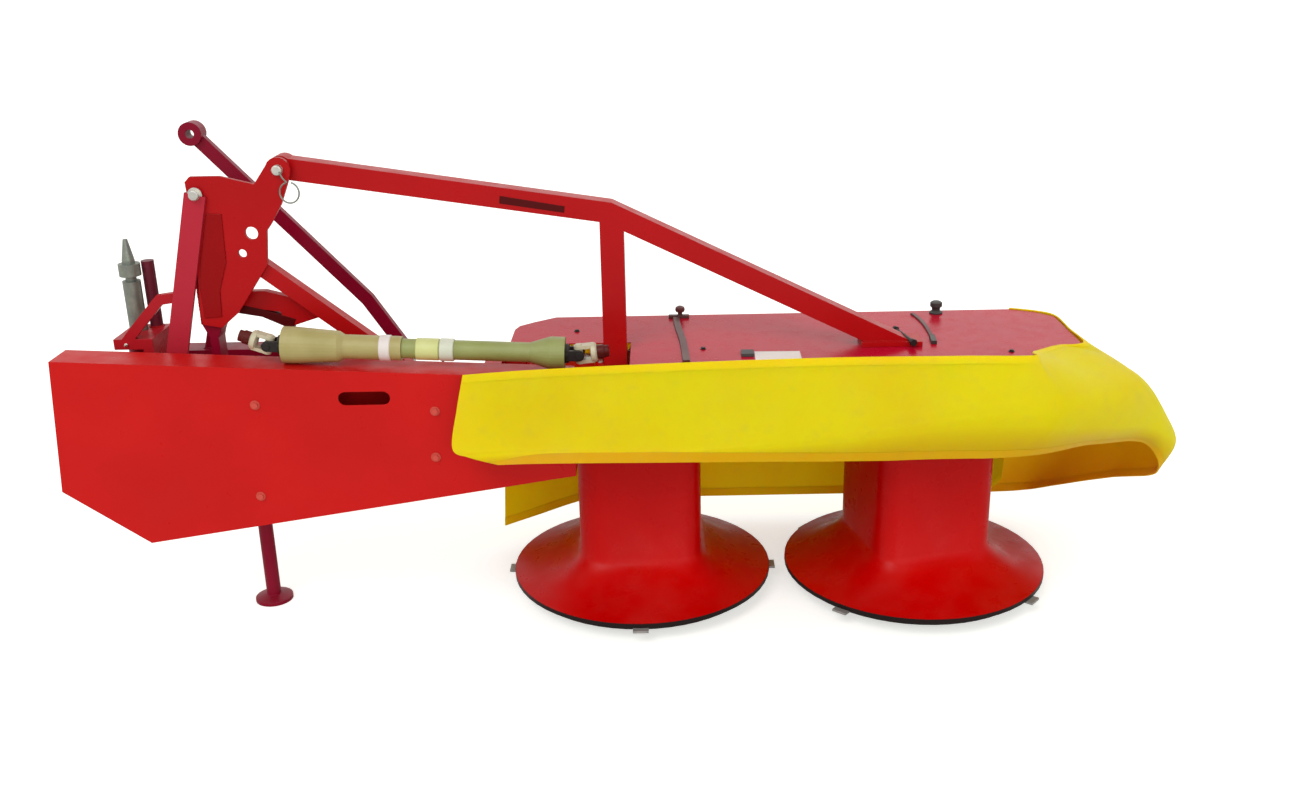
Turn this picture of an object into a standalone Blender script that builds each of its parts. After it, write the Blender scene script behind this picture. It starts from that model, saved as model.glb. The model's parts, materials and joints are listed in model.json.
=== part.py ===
"""Two-drum rotary mower for a tractor's three-point linkage, as it parks on its drums and its stand.

Metres. +X runs along the drums away from the tractor side, +Y is the direction of travel, +Z is up.
The origin is on the ground under the left drum's axis.
"""
import math

import bmesh
import bpy
from mathutils import Vector

# Working clearances
SEAT = 0.0003
RUNNING = 0.0005
OVERRUN = 0.010

# Drums, their flared discs and the sliding dishes under them
DRUM_SPACING = 0.825
DRUM_HALF = 0.178
DRUM_CORNER = 0.065
DRUM_TOP = 0.560
DRUM_WALL = 0.005
FLARE_TOP = 0.160
RIM_RADIUS = 0.388
RIM_TOP = 0.060
RIM_EDGE = 0.013
DISH_RADIUS = 0.365
DISH_FLAT = 0.220
DISH_HEIGHT = 0.035
DISH_WALL = 0.005
DISH_GAP = 0.0053
SPINDLE_RADIUS = 0.045
KNIFE_TIP = 0.405
KNIFE_WIDTH = 0.044
KNIFE_RING_INNER = 0.340
KNIFE_RING_OUTER = 0.372
KNIVES_PER_DRUM = 4
FLAT_STEPS = 5
CORNER_STEPS = 4
TURN_STEPS = 56

# Drums: name, place along the beam as a share of the spacing, turn of the drum and of its knives
DRUMS = [
    ("left", 0, 0, 0),
    ("right", 1, 15, 49.5),
]

# Gear beam over the drums
HUB_RADIUS = 0.058
HUB_HEIGHT = 0.025
BEAM_HEIGHT = 0.120
BEAM_END_RADIUS = 0.125
BEAM_WAIST = 0.075
BEAM_EDGE = 0.010
BEAM_BOTTOM = DRUM_TOP + HUB_HEIGHT
BEAM_TOP = BEAM_BOTTOM + BEAM_HEIGHT

# Bevel gearbox, whose trunnions carry the cutting unit in the carrier's fork
KNUCKLE_X = -0.260
KNUCKLE_Z = 0.635
GEARBOX_LEFT = -0.330
GEARBOX_HALF_DEPTH = 0.105
GEARBOX_HALF_HEIGHT = 0.060
TRUNNION_RADIUS = 0.042
DRIVE_GAP = 0.006
FORK_ARM = 0.030
FORK_SIDE_GAP = 0.010
FORK_HALF_HEIGHT = 0.060
FORK_CROSS_LEFT = -0.450
FORK_CROSS_RIGHT = -0.400
FORK_NOSE = 0.062

# Main beam of the carrier
MAIN_HALF = 0.040
MAIN_REAR = -0.062
MAIN_LEFT = -1.310

# Belt cover: an open-backed pan of five sides, closed by a back plate
COVER_FRONT = -0.300
COVER_DEPTH = 0.108
COVER_SHEET = 0.004
COVER_LEFT_TOP = (-1.566, 0.829)
COVER_LEFT_LOW = (-1.594, 0.451)
COVER_KEEL = (-1.368, 0.291)
COVER_RIGHT_LOW = (-0.169, 0.474)
COVER_RIGHT_TOP = (-0.169, 0.757)
COVER_BACK = COVER_FRONT + COVER_DEPTH
SLOT_LEFT = -0.8015
SLOT_RIGHT = -0.6610
SLOT_Z = 0.7102
SLOT_HEIGHT = 0.038
BRACKET_LEFT = -0.820
BRACKET_RIGHT = -0.640
BRACKET_HALF = 0.030

# Mast on the carrier: plate with two ears, column, stay and braces
MAST_PLANE = -0.095
MAST_SHEET = 0.012
EAR_RADIUS = 0.034
MAST_HOLES = [((-1.043, 1.124), 0.018), ((-1.075, 1.068), 0.012)]
MAST_LEFT = -1.207
MAST_TOP = 1.281
MAST_SADDLE = 1.258
MAST_SHOULDER = 0.095
MAST_CORNER = 0.014
STAY_PIN = (-1.180, 1.234)
ARM_PIN = (-0.952, 1.295)
PIN_RADIUS = 0.014
MAST_LOW = 0.857
COLUMN_X = -1.1885
COLUMN_HALF = 0.029
COLUMN_TOP = 1.085
COLUMN_FOOT_HALF = 0.012
COLUMN_TAPER = (0.825, 0.8635)
STAY_WIDTH = 0.058
STAY_SHEET = 0.012
STAY_FOOT = (-1.316, 0.690)
BRACE_TOP = (-1.065, 1.048)
BRACE_SLOPE = -0.80
BRACE_WIDTH = 0.044
BRACE_DEPTH = 0.040
GUSSET_TOP = 0.947
GUSSET_LOW = 0.844
GUSSET_LENGTH = 0.264
GUSSET_DEPTH = 0.026

# Plate's edge below the right ear, as shares of the width between its left side and the right ear's
# pin, and of the height between its low edge and its saddle
MAST_EDGE_SHARES = [(1.09, 1.0), (1.0, 0.86), (0.87, 0.73), (0.81, 0.68), (0.77, 0.44), (0.39, 0.105), (0.19, 0)]
MAST_EDGE_SHARES += [(-0.015, 0.025), (-0.03, 0.13), (0.04, 0.62)]

# Gusset's outline as shares of its length and height
GUSSET_SHARES = [(0, 0.63), (0.58, 0.41), (0.62, 0.17), (0.70, 0), (1, 0.24), (0.81, 0.74), (0.44, 1), (0, 1)]

# Swing pivot at the tractor side: a yoke with two lugs round the hitch frame's tube
PIVOT_X = -1.435
PIVOT_PIN_RADIUS = 0.025
PIVOT_PIN_TOP = 1.093
PIVOT_TUBE_RADIUS = 0.036
PIVOT_LOW = 0.595
PIVOT_LUG = 0.030
PIVOT_HIGH = 0.798
YOKE_WEB_RIGHT = -1.360
YOKE_STEP = 0.700
YOKE_FRONT = 0.056
YOKE_ARM = [(-1.255, 0.950), (-1.325, 0.940), (-1.400, 0.860), (-1.440, 0.815)]
YOKE_ARM_WIDTH = 0.028
YOKE_ARM_DEPTH = 0.020
UPRIGHT_X = -1.395
UPRIGHT_Y = 0.034
UPRIGHT_RADIUS = 0.018
UPRIGHT_TOP = 1.023

# Pivot pin's top: radius as a share of the pin's, height below the tip as a share of the pin's radius
PIVOT_TOP_SHARES = [(1, 4.8), (0.6, 4.8), (0.6, 4.2), (1.2, 4.2), (1.2, 2.8), (0.7, 2.8), (0.7, 2.4), (0.25, 0)]

# Drive input behind the large pulley
INPUT_X = -1.360
INPUT_Z = 0.500
INPUT_HOUSING_RADIUS = 0.055
INPUT_HOUSING_LENGTH = 0.130
INPUT_SHAFT_RADIUS = 0.0175
INPUT_SHAFT_LENGTH = 0.110

# Three-point hitch frame
HITCH_PLANE = 0.200
HITCH_HALF = 0.040
HITCH_LEFT = -1.500
HITCH_RIGHT = -0.700
HITCH_Z = 0.672
HITCH_ARM_HALF = 0.025
HITCH_PIN_RADIUS = 0.014
HITCH_PIN_LENGTH = 0.120
TOP_EYE = (-1.275, 1.357)
TOP_EYE_RADIUS = 0.034
TOP_EYE_BORE = 0.0127
STRUT_WIDTH = 0.039
STRUT_HALF = 0.012
STRUT_KNEE = (-0.812, 0.853)
STRUT_FOOT_X = -0.722
HITCH_POST_X = -1.297
HITCH_POST_HEAD_X = -1.160
HITCH_POST_HALF = 0.022

# Lift arm over the cutting unit
ARM_PLANE = -0.045
ARM_SIZE = 0.058
ARM_KNEE = (-0.067, 1.156)
ARM_FOOT_X = 0.721
ARM_POST_X = -0.060
ARM_POST_HALF = 0.033
ARM_PAD = 0.014
ARM_PAD_HALF = 0.085

# Guard over the drums: deck, bearers, rails and fabric skirts
DECK_TOP = 0.762
DECK_SHEET = 0.003
DECK_FRONT = 0.2765
DECK_REAR = -0.310
DECK_LEFT = -0.368
DECK_RIGHT = 1.2535
DECK_NOTCH_X = -0.017
DECK_NOTCH_Y = 0.0
DECK_REAR_RIGHT = (0.2085, 0.220)
DECK_FRONT_RIGHT = (0.1135, 0.0915)
DECK_FRONT_LEFT = (0.115, 0.1265)
BEARER_HALF = 0.015
BEARER_SLOPE_DEPTH = 0.045
RAIL_RADIUS = 0.010
RAIL_REAR_Y = -0.330
RAIL_LEFT = (-0.445, 0.773)
RAIL_RIGHT = (1.035, 0.797)
RAIL_FRONT_REACH = 0.130
SKIRT_SHEET = 0.004
SKIRT_HOLD = 0.0024
SKIRT_TOP = 0.813
SKIRT_TOP_LEFT = 0.783
SHOULDER_Y = 0.436
SHOULDER_Z = 0.565
SKIRT_LOW = 0.082
SKIRT_REAR_LEFT = (-0.450, -0.487, -0.360)
SKIRT_REAR_RIGHT = (1.040, 1.060, 0.970)
SKIRT_REAR_MID = (-0.400, 0.600)
SKIRT_REAR_LOW = (-0.420, 0.560)
SKIRT_END_NEAR = (0.990, -0.420)
SKIRT_END_FAR_X = 1.545
SKIRT_END_START = 1.053
SKIRT_FRONT_TIP = (-0.445, 0.225)
SKIRT_FRONT_CORNER_X = -0.150
SKIRT_FRONT_END = 1.130
STRAP_HALF = 0.012
STRAP_SHEET = 0.006
STRAP_REAR = -0.080
KNOB_RADIUS = 0.014
KNOB_HEIGHT = 0.034

# Bearers: name and place along the beam
BEARERS = [
    ("left", 0.100),
    ("right", DRUM_SPACING),
]

# Straps across the deck: name and place along the beam
STRAPS = [
    ("left", 0.145),
    ("right", 0.930),
]

# Deck's corners as shares of the corner's width and depth from where its sides would meet
DECK_REAR_RIGHT_SHARES = [(1, 0), (0.86, 0.50), (0.50, 0.83), (0, 1)]
DECK_FRONT_RIGHT_SHARES = [(0, 1), (0.38, 0.42), (1, 0)]
DECK_FRONT_LEFT_SHARES = [(1, 0), (0.46, 0.38), (0.10, 0.69), (0, 1)]

# Rear skirt's stations: share of the way along it, share of its top's rise
SKIRT_REAR_SHARES = [(0, 0), (0.17, 0.47), (0.64, 1), (1, 0.87)]

# End skirt's stations from the rear corner round to the front: height of the top as a share of the way
# from the deck to the skirts' top, then its middle and low points as shares of the box round the skirt
SKIRT_END_SHARES = [
    (0.92, (0.16, 0.02, 0.71), (0, 0, 0.65)),
    (0.26, (0.38, 0.07, 0.85), (0.29, 0.05, 0.66)),
    (0.12, (0.74, 0.24, 0.79), (0.74, 0.23, 0.63)),
    (0.08, (1, 0.37, 0.53), (0.92, 0.37, 0.40)),
    (0, (0.86, 0.72, 0.50), (0.67, 0.69, 0.20)),
    (0, (0.56, 0.96, 0.57), (0.50, 0.93, 0.04)),
    (0, (0.31, 1, 0.57), (0.29, 1, 0)),
]

# Front skirt's left corner: low edge as shares of the corner's width and depth from the tip, and share
# of the way out that the skirt has come at the shoulder's height
SKIRT_FRONT_SHARES = [(0, 0, 0.45), (0.36, 0.40, 0.80), (0.71, 0.81, 0.95), (1, 1, 1)]

# Parking stand
STAND_X = -1.114
STAND_Y = -0.090
STAND_RADIUS = 0.021
STAND_TOP = 0.600
STAND_FOOT_RADIUS = 0.055
STAND_FOOT_SHEET = 0.010
SLEEVE_WALL = 0.006
SLEEVE_LOW = 0.450

# Drive shaft, stowed on top of the belt cover
SHAFT_PLANE = -0.240
SHAFT_LEFT = -1.000
SHAFT_GUARD_RADIUS = 0.050

# Pieces of the bodies that swing on the pivot pin and tilt on the gearbox's trunnions
HITCH_PIECES = ["hitch_beam", "hitch_pin_left", "hitch_pin_right", "hitch_post", "top_strut"]
UNIT_PIECES = [
    "gear_beam", "gearbox", "dish_left", "dish_right", "lift_arm", "deck", "bearer_left", "bearer_right",
    "end_arm", "rail_front", "rail_rear", "strap_left", "strap_right", "skirt_rear", "skirt_end", "skirt_front",
]


def clear_scene():
    """Remove whatever the file holds."""
    for item in list(bpy.data.objects):
        bpy.data.objects.remove(item, do_unlink=True)


def finish(name, colour, roughness, metallic=0.0):
    """Make a plain material."""
    material = bpy.data.materials.new(name)
    material.use_nodes = True
    shader = material.node_tree.nodes["Principled BSDF"]
    shader.inputs["Base Color"].default_value = (*colour, 1.0)
    shader.inputs["Roughness"].default_value = roughness
    shader.inputs["Metallic"].default_value = metallic
    return material


def add_solid(name, points, faces, material, smooth=True):
    """Make one object from points and faces, with its faces pointing out."""
    form = bmesh.new()
    corners = [form.verts.new(point) for point in points]
    for face in faces:
        form.faces.new([corners[index] for index in face])
    bmesh.ops.recalc_face_normals(form, faces=form.faces)
    mesh = bpy.data.meshes.new(name)
    form.to_mesh(mesh)
    form.free()
    mesh.materials.append(material)
    if smooth:
        mesh.shade_smooth()
        mesh.set_sharp_from_angle(angle=math.radians(30))
    solid = bpy.data.objects.new(name, mesh)
    bpy.context.collection.objects.link(solid)
    return solid


def in_plane(plane, u, v, depth):
    """Turn an outline's point and a depth into a point in space."""
    if plane == "XZ":
        return (u, depth, v)
    if plane == "YZ":
        return (depth, u, v)
    return (u, v, depth)


def slab(name, plane, outline, low, high, material):
    """Extrude an outline from one depth to another."""
    count = len(outline)
    points = [in_plane(plane, u, v, low) for u, v in outline]
    points += [in_plane(plane, u, v, high) for u, v in outline]
    faces = [tuple(range(count)), tuple(range(count, 2 * count))]
    for index in range(count):
        after = (index + 1) % count
        faces.append((index, after, count + after, count + index))
    return add_solid(name, points, faces, material)


def arc(centre, radius, start, stop, steps):
    """Points on an arc, angles in degrees."""
    points = []
    for step in range(steps + 1):
        angle = math.radians(start + (stop - start) * step / steps)
        points.append((centre[0] + radius * math.cos(angle), centre[1] + radius * math.sin(angle)))
    return points


def turned(name, profile, base, direction, material, steps=32, ring=False):
    """Turn a profile of (radius, distance along the axis); a ring's profile is a closed loop."""
    axis = Vector(direction).normalized()
    side = axis.orthogonal().normalized()
    across = axis.cross(side)
    points = []
    rings = []
    for radius, distance in profile:
        centre = Vector(base) + axis * distance
        if radius == 0:
            rings.append([len(points)])
            points.append(centre)
            continue
        rings.append(list(range(len(points), len(points) + steps)))
        for step in range(steps):
            angle = 2 * math.pi * step / steps
            points.append(centre + radius * (math.cos(angle) * side + math.sin(angle) * across))
    faces = []
    pairs = list(zip(rings, rings[1:]))
    if ring:
        pairs.append((rings[-1], rings[0]))
    for lower, upper in pairs:
        for step in range(steps):
            after = (step + 1) % steps
            if len(lower) == 1:
                faces.append((lower[0], upper[after], upper[step]))
            elif len(upper) == 1:
                faces.append((lower[step], lower[after], upper[0]))
            else:
                faces.append((lower[step], lower[after], upper[after], upper[step]))
    if not ring:
        for end in (rings[0], rings[-1]):
            if len(end) > 1:
                faces.append(tuple(end))
    return add_solid(name, points, faces, material)


def rod(name, start, stop, radius, material, steps=24):
    """Make a round bar between two points."""
    length = (Vector(stop) - Vector(start)).length
    return turned(name, [(radius, 0), (radius, length)], start, Vector(stop) - Vector(start), material, steps)


def combine(solid, helper, operation):
    """Cut a helper out of a solid, or join it on."""
    helper.hide_render = True
    helper.display_type = "WIRE"
    step = solid.modifiers.new(helper.name, "BOOLEAN")
    step.operation = operation
    step.solver = "EXACT"
    step.object = helper


def bore(solid, start, stop, radius, steps=24):
    """Bore a round hole along a line through a solid."""
    cutter = rod("bore_" + solid.name + str(len(solid.modifiers)), start, stop, radius, None, steps)
    combine(solid, cutter, "DIFFERENCE")


def join(solid, helper):
    """Join a helper's volume to a solid."""
    combine(solid, helper, "UNION")


def sheet(name, stations, thickness, material):
    """Make a closed sheet from stations, each a row of points from top to bottom of its middle surface."""
    rows = [[Vector(point) for point in station] for station in stations]
    wide = len(rows)
    tall = len(rows[0])
    normals = []
    for i in range(wide):
        for j in range(tall):
            along = rows[min(i + 1, wide - 1)][j] - rows[max(i - 1, 0)][j]
            down = rows[i][min(j + 1, tall - 1)] - rows[i][max(j - 1, 0)]
            normals.append(along.cross(down).normalized())
    middle = [point for row in rows for point in row]
    points = [point + normal * thickness / 2 for point, normal in zip(middle, normals)]
    points += [point - normal * thickness / 2 for point, normal in zip(middle, normals)]
    shift = wide * tall
    faces = []
    for i in range(wide - 1):
        for j in range(tall - 1):
            a, b, c, d = i * tall + j, (i + 1) * tall + j, (i + 1) * tall + j + 1, i * tall + j + 1
            faces.append((a, b, c, d))
            faces.append((shift + a, shift + d, shift + c, shift + b))
    edge = [i * tall for i in range(wide)]
    edge += [(wide - 1) * tall + j for j in range(1, tall)]
    edge += [i * tall + tall - 1 for i in range(wide - 2, -1, -1)]
    edge += [j for j in range(tall - 2, 0, -1)]
    for index, corner in enumerate(edge):
        after = edge[(index + 1) % len(edge)]
        faces.append((corner, shift + corner, shift + after, after))
    return add_solid(name, points, faces, material)


def bent_outline(points, width):
    """Outline of a bar of one width along a line of points, with mitred bends."""
    left = []
    right = []
    spots = [Vector(point) for point in points]
    for index, spot in enumerate(spots):
        before = (spot - spots[index - 1]).normalized() if index else None
        after = (spots[index + 1] - spot).normalized() if index < len(spots) - 1 else None
        before = before or after
        after = after or before
        lead = (before + after).normalized()
        reach = width / 2 / lead.dot(before)
        side = Vector((-lead.y, lead.x)) * reach
        left.append(tuple(spot + side))
        right.append(tuple(spot - side))
    return left + right[::-1]


def level_cut(inner, outer, height):
    """The point where a line between two outline points meets a height."""
    share = (height - inner[1]) / (outer[1] - inner[1])
    return (inner[0] + (outer[0] - inner[0]) * share, height)


def inset(outline, distance):
    """Move each side of a convex outline inwards."""
    count = len(outline)
    centre = Vector((sum(point[0] for point in outline) / count, sum(point[1] for point in outline) / count))
    lines = []
    for index in range(count):
        start = Vector(outline[index])
        run = (Vector(outline[(index + 1) % count]) - start).normalized()
        side = Vector((-run.y, run.x))
        if side.dot(centre - start) < 0:
            side = -side
        lines.append((start + side * distance, run))
    moved = []
    for index in range(count):
        p, r = lines[index - 1]
        q, s = lines[index]
        reach = (q - p).cross(s) / r.cross(s)
        moved.append(tuple(p + r * reach))
    return moved


def drum_reach(angle):
    """Distance from the axis to the rounded square at an angle from the middle of a face."""
    centre = DRUM_HALF - DRUM_CORNER
    fold = min(angle, 90 - angle)
    turn = math.radians(fold)
    if math.tan(turn) * DRUM_HALF <= centre:
        return DRUM_HALF / math.cos(turn)
    along = centre * (math.cos(turn) + math.sin(turn))
    aside = centre * (math.cos(turn) - math.sin(turn))
    return along + math.sqrt(DRUM_CORNER ** 2 - aside ** 2)


def drum_angles():
    """Angles of a quarter's outline points, close together round the corner."""
    corner = math.degrees(math.atan((DRUM_HALF - DRUM_CORNER) / DRUM_HALF))
    angles = [corner * step / FLAT_STEPS for step in range(FLAT_STEPS)]
    angles += [corner + (90 - 2 * corner) * step / CORNER_STEPS for step in range(CORNER_STEPS)]
    angles += [90 - corner + corner * step / FLAT_STEPS for step in range(FLAT_STEPS)]
    return angles


def drum(name, x, turn, material):
    """The drum: a rounded square tube that flares into a round disc, open below."""
    # Sections: height as a share of the flare, share of the way from the disc's circle to the square
    flare_shares = [(0.0, 0.0), (0.12, 0.26), (0.25, 0.45), (0.40, 0.62), (0.60, 0.80), (0.80, 0.93), (1.0, 1.0)]
    flare = FLARE_TOP - RIM_TOP
    sections = [(RIM_TOP - RIM_EDGE, 0.0)]
    sections += [(RIM_TOP + flare * height, square) for height, square in flare_shares]
    sections += [(DRUM_TOP, 1.0)]
    angles = [90 * quarter + angle for quarter in range(4) for angle in drum_angles()]

    def ring(height, square, wall):
        points = []
        for angle in angles:
            reach = RIM_RADIUS + (drum_reach(angle % 90) - RIM_RADIUS) * square - wall
            heading = math.radians(angle + turn - 90)
            points.append((x + reach * math.cos(heading), reach * math.sin(heading), height))
        return points

    rings = [ring(height, square, 0) for height, square in sections]
    rings += [ring(DRUM_TOP - DRUM_WALL, 1.0, DRUM_WALL)]
    rings += [ring(height, square, DRUM_WALL) for height, square in sections[-2::-1]]
    points = [point for line in rings for point in line]
    count = len(angles)
    top = len(sections) - 1
    faces = [tuple(range(top * count, (top + 1) * count))]
    faces += [tuple(range((top + 1) * count, (top + 2) * count))]
    pairs = [(index, index + 1) for index in range(len(rings) - 1) if index != top]
    pairs += [(len(rings) - 1, 0)]
    for lower, upper in pairs:
        for step in range(count):
            after = (step + 1) % count
            faces.append((lower * count + step, lower * count + after, upper * count + after, upper * count + step))
    return add_solid(name, points, faces, material)


def dish(name, x, material):
    """The sliding dish under a drum, a shallow bowl on the standing spindle inside the drum."""
    slope = DISH_RADIUS - DISH_FLAT
    rise_shares = [(0.70, 0.30), (1.0, 0.85), (1.0, 1.0)]
    outer = [(0, 0), (DISH_FLAT, 0)]
    outer += [(DISH_FLAT + slope * out, DISH_HEIGHT * up) for out, up in rise_shares]
    inner = [(DISH_RADIUS - DISH_WALL, DISH_HEIGHT)]
    inner += [(DISH_FLAT + slope * out - DISH_WALL, DISH_HEIGHT * up + DISH_WALL) for out, up in rise_shares[1::-1]]
    spindle = DRUM_TOP - DRUM_WALL - SEAT
    inner += [(DISH_FLAT, DISH_WALL), (SPINDLE_RADIUS, DISH_WALL), (SPINDLE_RADIUS, spindle), (0, spindle)]
    return turned(name, outer + inner, (x, 0, 0), (0, 0, 1), material, TURN_STEPS)


def knives(name, x, turn, material):
    """The knives with the ring that carries them between disc and dish."""
    low = DISH_HEIGHT + DISH_GAP
    high = RIM_TOP - RIM_EDGE - SEAT
    half = math.degrees(math.asin(KNIFE_WIDTH / 2 / KNIFE_RING_OUTER))
    outline = []
    for index in range(KNIVES_PER_DRUM):
        heading = index * 360 / KNIVES_PER_DRUM + turn - 90
        out = Vector((math.cos(math.radians(heading)), math.sin(math.radians(heading))))
        side = Vector((-out.y, out.x)) * KNIFE_WIDTH / 2
        centre = Vector((x, 0))
        outline += [tuple(centre + out * KNIFE_TIP - side), tuple(centre + out * KNIFE_TIP + side)]
        outline += arc((x, 0), KNIFE_RING_OUTER, heading + half, heading + 360 / KNIVES_PER_DRUM - half, 12)
    ring = slab(name, "XY", outline, low, high, material)
    bore(ring, (x, 0, low - OVERRUN), (x, 0, high + OVERRUN), KNIFE_RING_INNER, TURN_STEPS)
    return ring


def gear_beam(material):
    """The closed beam over the drums, with round ends and a hub over each drum."""
    waist = math.degrees(math.asin(BEAM_WAIST / BEAM_END_RADIUS))
    outline = arc((0, 0), BEAM_END_RADIUS, waist, 360 - waist, 20)
    outline += arc((DRUM_SPACING, 0), BEAM_END_RADIUS, waist - 180, 180 - waist, 20)
    beam = slab("gear_beam", "XY", outline, BEAM_BOTTOM, BEAM_TOP, material)
    edge = beam.modifiers.new("edge", "BEVEL")
    edge.width = BEAM_EDGE
    edge.segments = 2
    edge.limit_method = "ANGLE"
    for side, place, _, _ in DRUMS:
        x = place * DRUM_SPACING
        base = (x, 0, DRUM_TOP + SEAT)
        hub = turned("hub_" + side, [(HUB_RADIUS, 0), (HUB_RADIUS, HUB_HEIGHT + OVERRUN)], base, (0, 0, 1), material)
        join(beam, hub)
    return beam


def gearbox(material):
    """The bevel gearbox with its two trunnions, on the axis of the small pulley."""
    right = -BEAM_END_RADIUS - SEAT
    low = KNUCKLE_Z - GEARBOX_HALF_HEIGHT
    high = KNUCKLE_Z + GEARBOX_HALF_HEIGHT
    chamfer = GEARBOX_HALF_HEIGHT / 3
    outline = [(GEARBOX_LEFT + chamfer, low), (right, low), (right, high), (GEARBOX_LEFT + chamfer, high)]
    outline += [(GEARBOX_LEFT, high - chamfer), (GEARBOX_LEFT, low + chamfer)]
    box = slab("gearbox", "XZ", outline, -GEARBOX_HALF_DEPTH, GEARBOX_HALF_DEPTH, material)
    reach = GEARBOX_HALF_DEPTH + FORK_SIDE_GAP + FORK_ARM + FORK_SIDE_GAP
    start = (KNUCKLE_X, COVER_BACK + DRIVE_GAP, KNUCKLE_Z)
    stop = (KNUCKLE_X, reach, KNUCKLE_Z)
    join(box, rod("trunnions", start, stop, TRUNNION_RADIUS, material, 32))
    return box


def knuckle_fork(material):
    """The carrier's fork round the gearbox."""
    inner = GEARBOX_HALF_DEPTH + FORK_SIDE_GAP
    outer = inner + FORK_ARM
    tip = KNUCKLE_X + FORK_NOSE
    low = KNUCKLE_Z - FORK_HALF_HEIGHT
    high = KNUCKLE_Z + FORK_HALF_HEIGHT
    outline = [(FORK_CROSS_LEFT, -outer), (tip, -outer), (tip, -inner), (FORK_CROSS_RIGHT, -inner)]
    outline += [(FORK_CROSS_RIGHT, inner), (tip, inner), (tip, outer), (FORK_CROSS_LEFT, outer)]
    fork = slab("knuckle_fork", "XY", outline, low, high, material)
    start = (KNUCKLE_X, -outer - OVERRUN, KNUCKLE_Z)
    stop = (KNUCKLE_X, outer + OVERRUN, KNUCKLE_Z)
    bore(fork, start, stop, TRUNNION_RADIUS + RUNNING, 32)
    return fork


def main_beam(material):
    """The carrier's square main beam."""
    low = KNUCKLE_Z - MAIN_HALF
    high = KNUCKLE_Z + MAIN_HALF
    right = FORK_CROSS_LEFT - SEAT
    outline = [(MAIN_LEFT + SEAT, low), (right, low), (right, high), (MAIN_LEFT + SEAT, high)]
    return slab("main_beam", "XZ", outline, MAIN_REAR, MAIN_HALF, material)


def cover_outline():
    """Five corners of the belt cover."""
    return [COVER_LEFT_TOP, COVER_LEFT_LOW, COVER_KEEL, COVER_RIGHT_LOW, COVER_RIGHT_TOP]


def belt_cover(material):
    """The belt cover's pan: one face and five sides, open at the back."""
    outer = cover_outline()
    inner = inset(outer, COVER_SHEET)
    count = len(outer)
    back = COVER_BACK - COVER_SHEET
    points = [(x, COVER_FRONT, z) for x, z in outer]
    points += [(x, back, z) for x, z in outer]
    points += [(x, back, z) for x, z in inner]
    points += [(x, COVER_FRONT + COVER_SHEET, z) for x, z in inner]
    faces = [tuple(range(count)), tuple(range(3 * count, 4 * count))]
    for level in range(3):
        for index in range(count):
            after = (index + 1) % count
            a, b = level * count, (level + 1) * count
            faces.append((a + index, a + after, b + after, b + index))
    cover = add_solid("belt_cover", points, faces, material)

    # Hand slot in the face
    half = SLOT_HEIGHT / 2
    outline = arc((SLOT_LEFT + half, SLOT_Z), half, 90, 270, 8)
    outline += arc((SLOT_RIGHT - half, SLOT_Z), half, -90, 90, 8)
    low = COVER_FRONT - OVERRUN
    high = COVER_FRONT + COVER_SHEET + OVERRUN
    combine(cover, slab("cut_slot", "XZ", outline, low, high, None), "DIFFERENCE")
    return cover


def belt_back_plate(material):
    """The plate that closes the belt cover towards the carrier."""
    low = COVER_BACK - COVER_SHEET + SEAT
    return slab("belt_back_plate", "XZ", cover_outline(), low, COVER_BACK, material)


def cover_bracket(material):
    """The box bracket between the belt cover's back plate and the main beam."""
    low = KNUCKLE_Z - BRACKET_HALF
    high = KNUCKLE_Z + BRACKET_HALF
    outline = [(BRACKET_LEFT, low), (BRACKET_RIGHT, low), (BRACKET_RIGHT, high), (BRACKET_LEFT, high)]
    slab("cover_bracket", "XZ", outline, COVER_BACK + SEAT, MAIN_REAR - SEAT, material)


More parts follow.
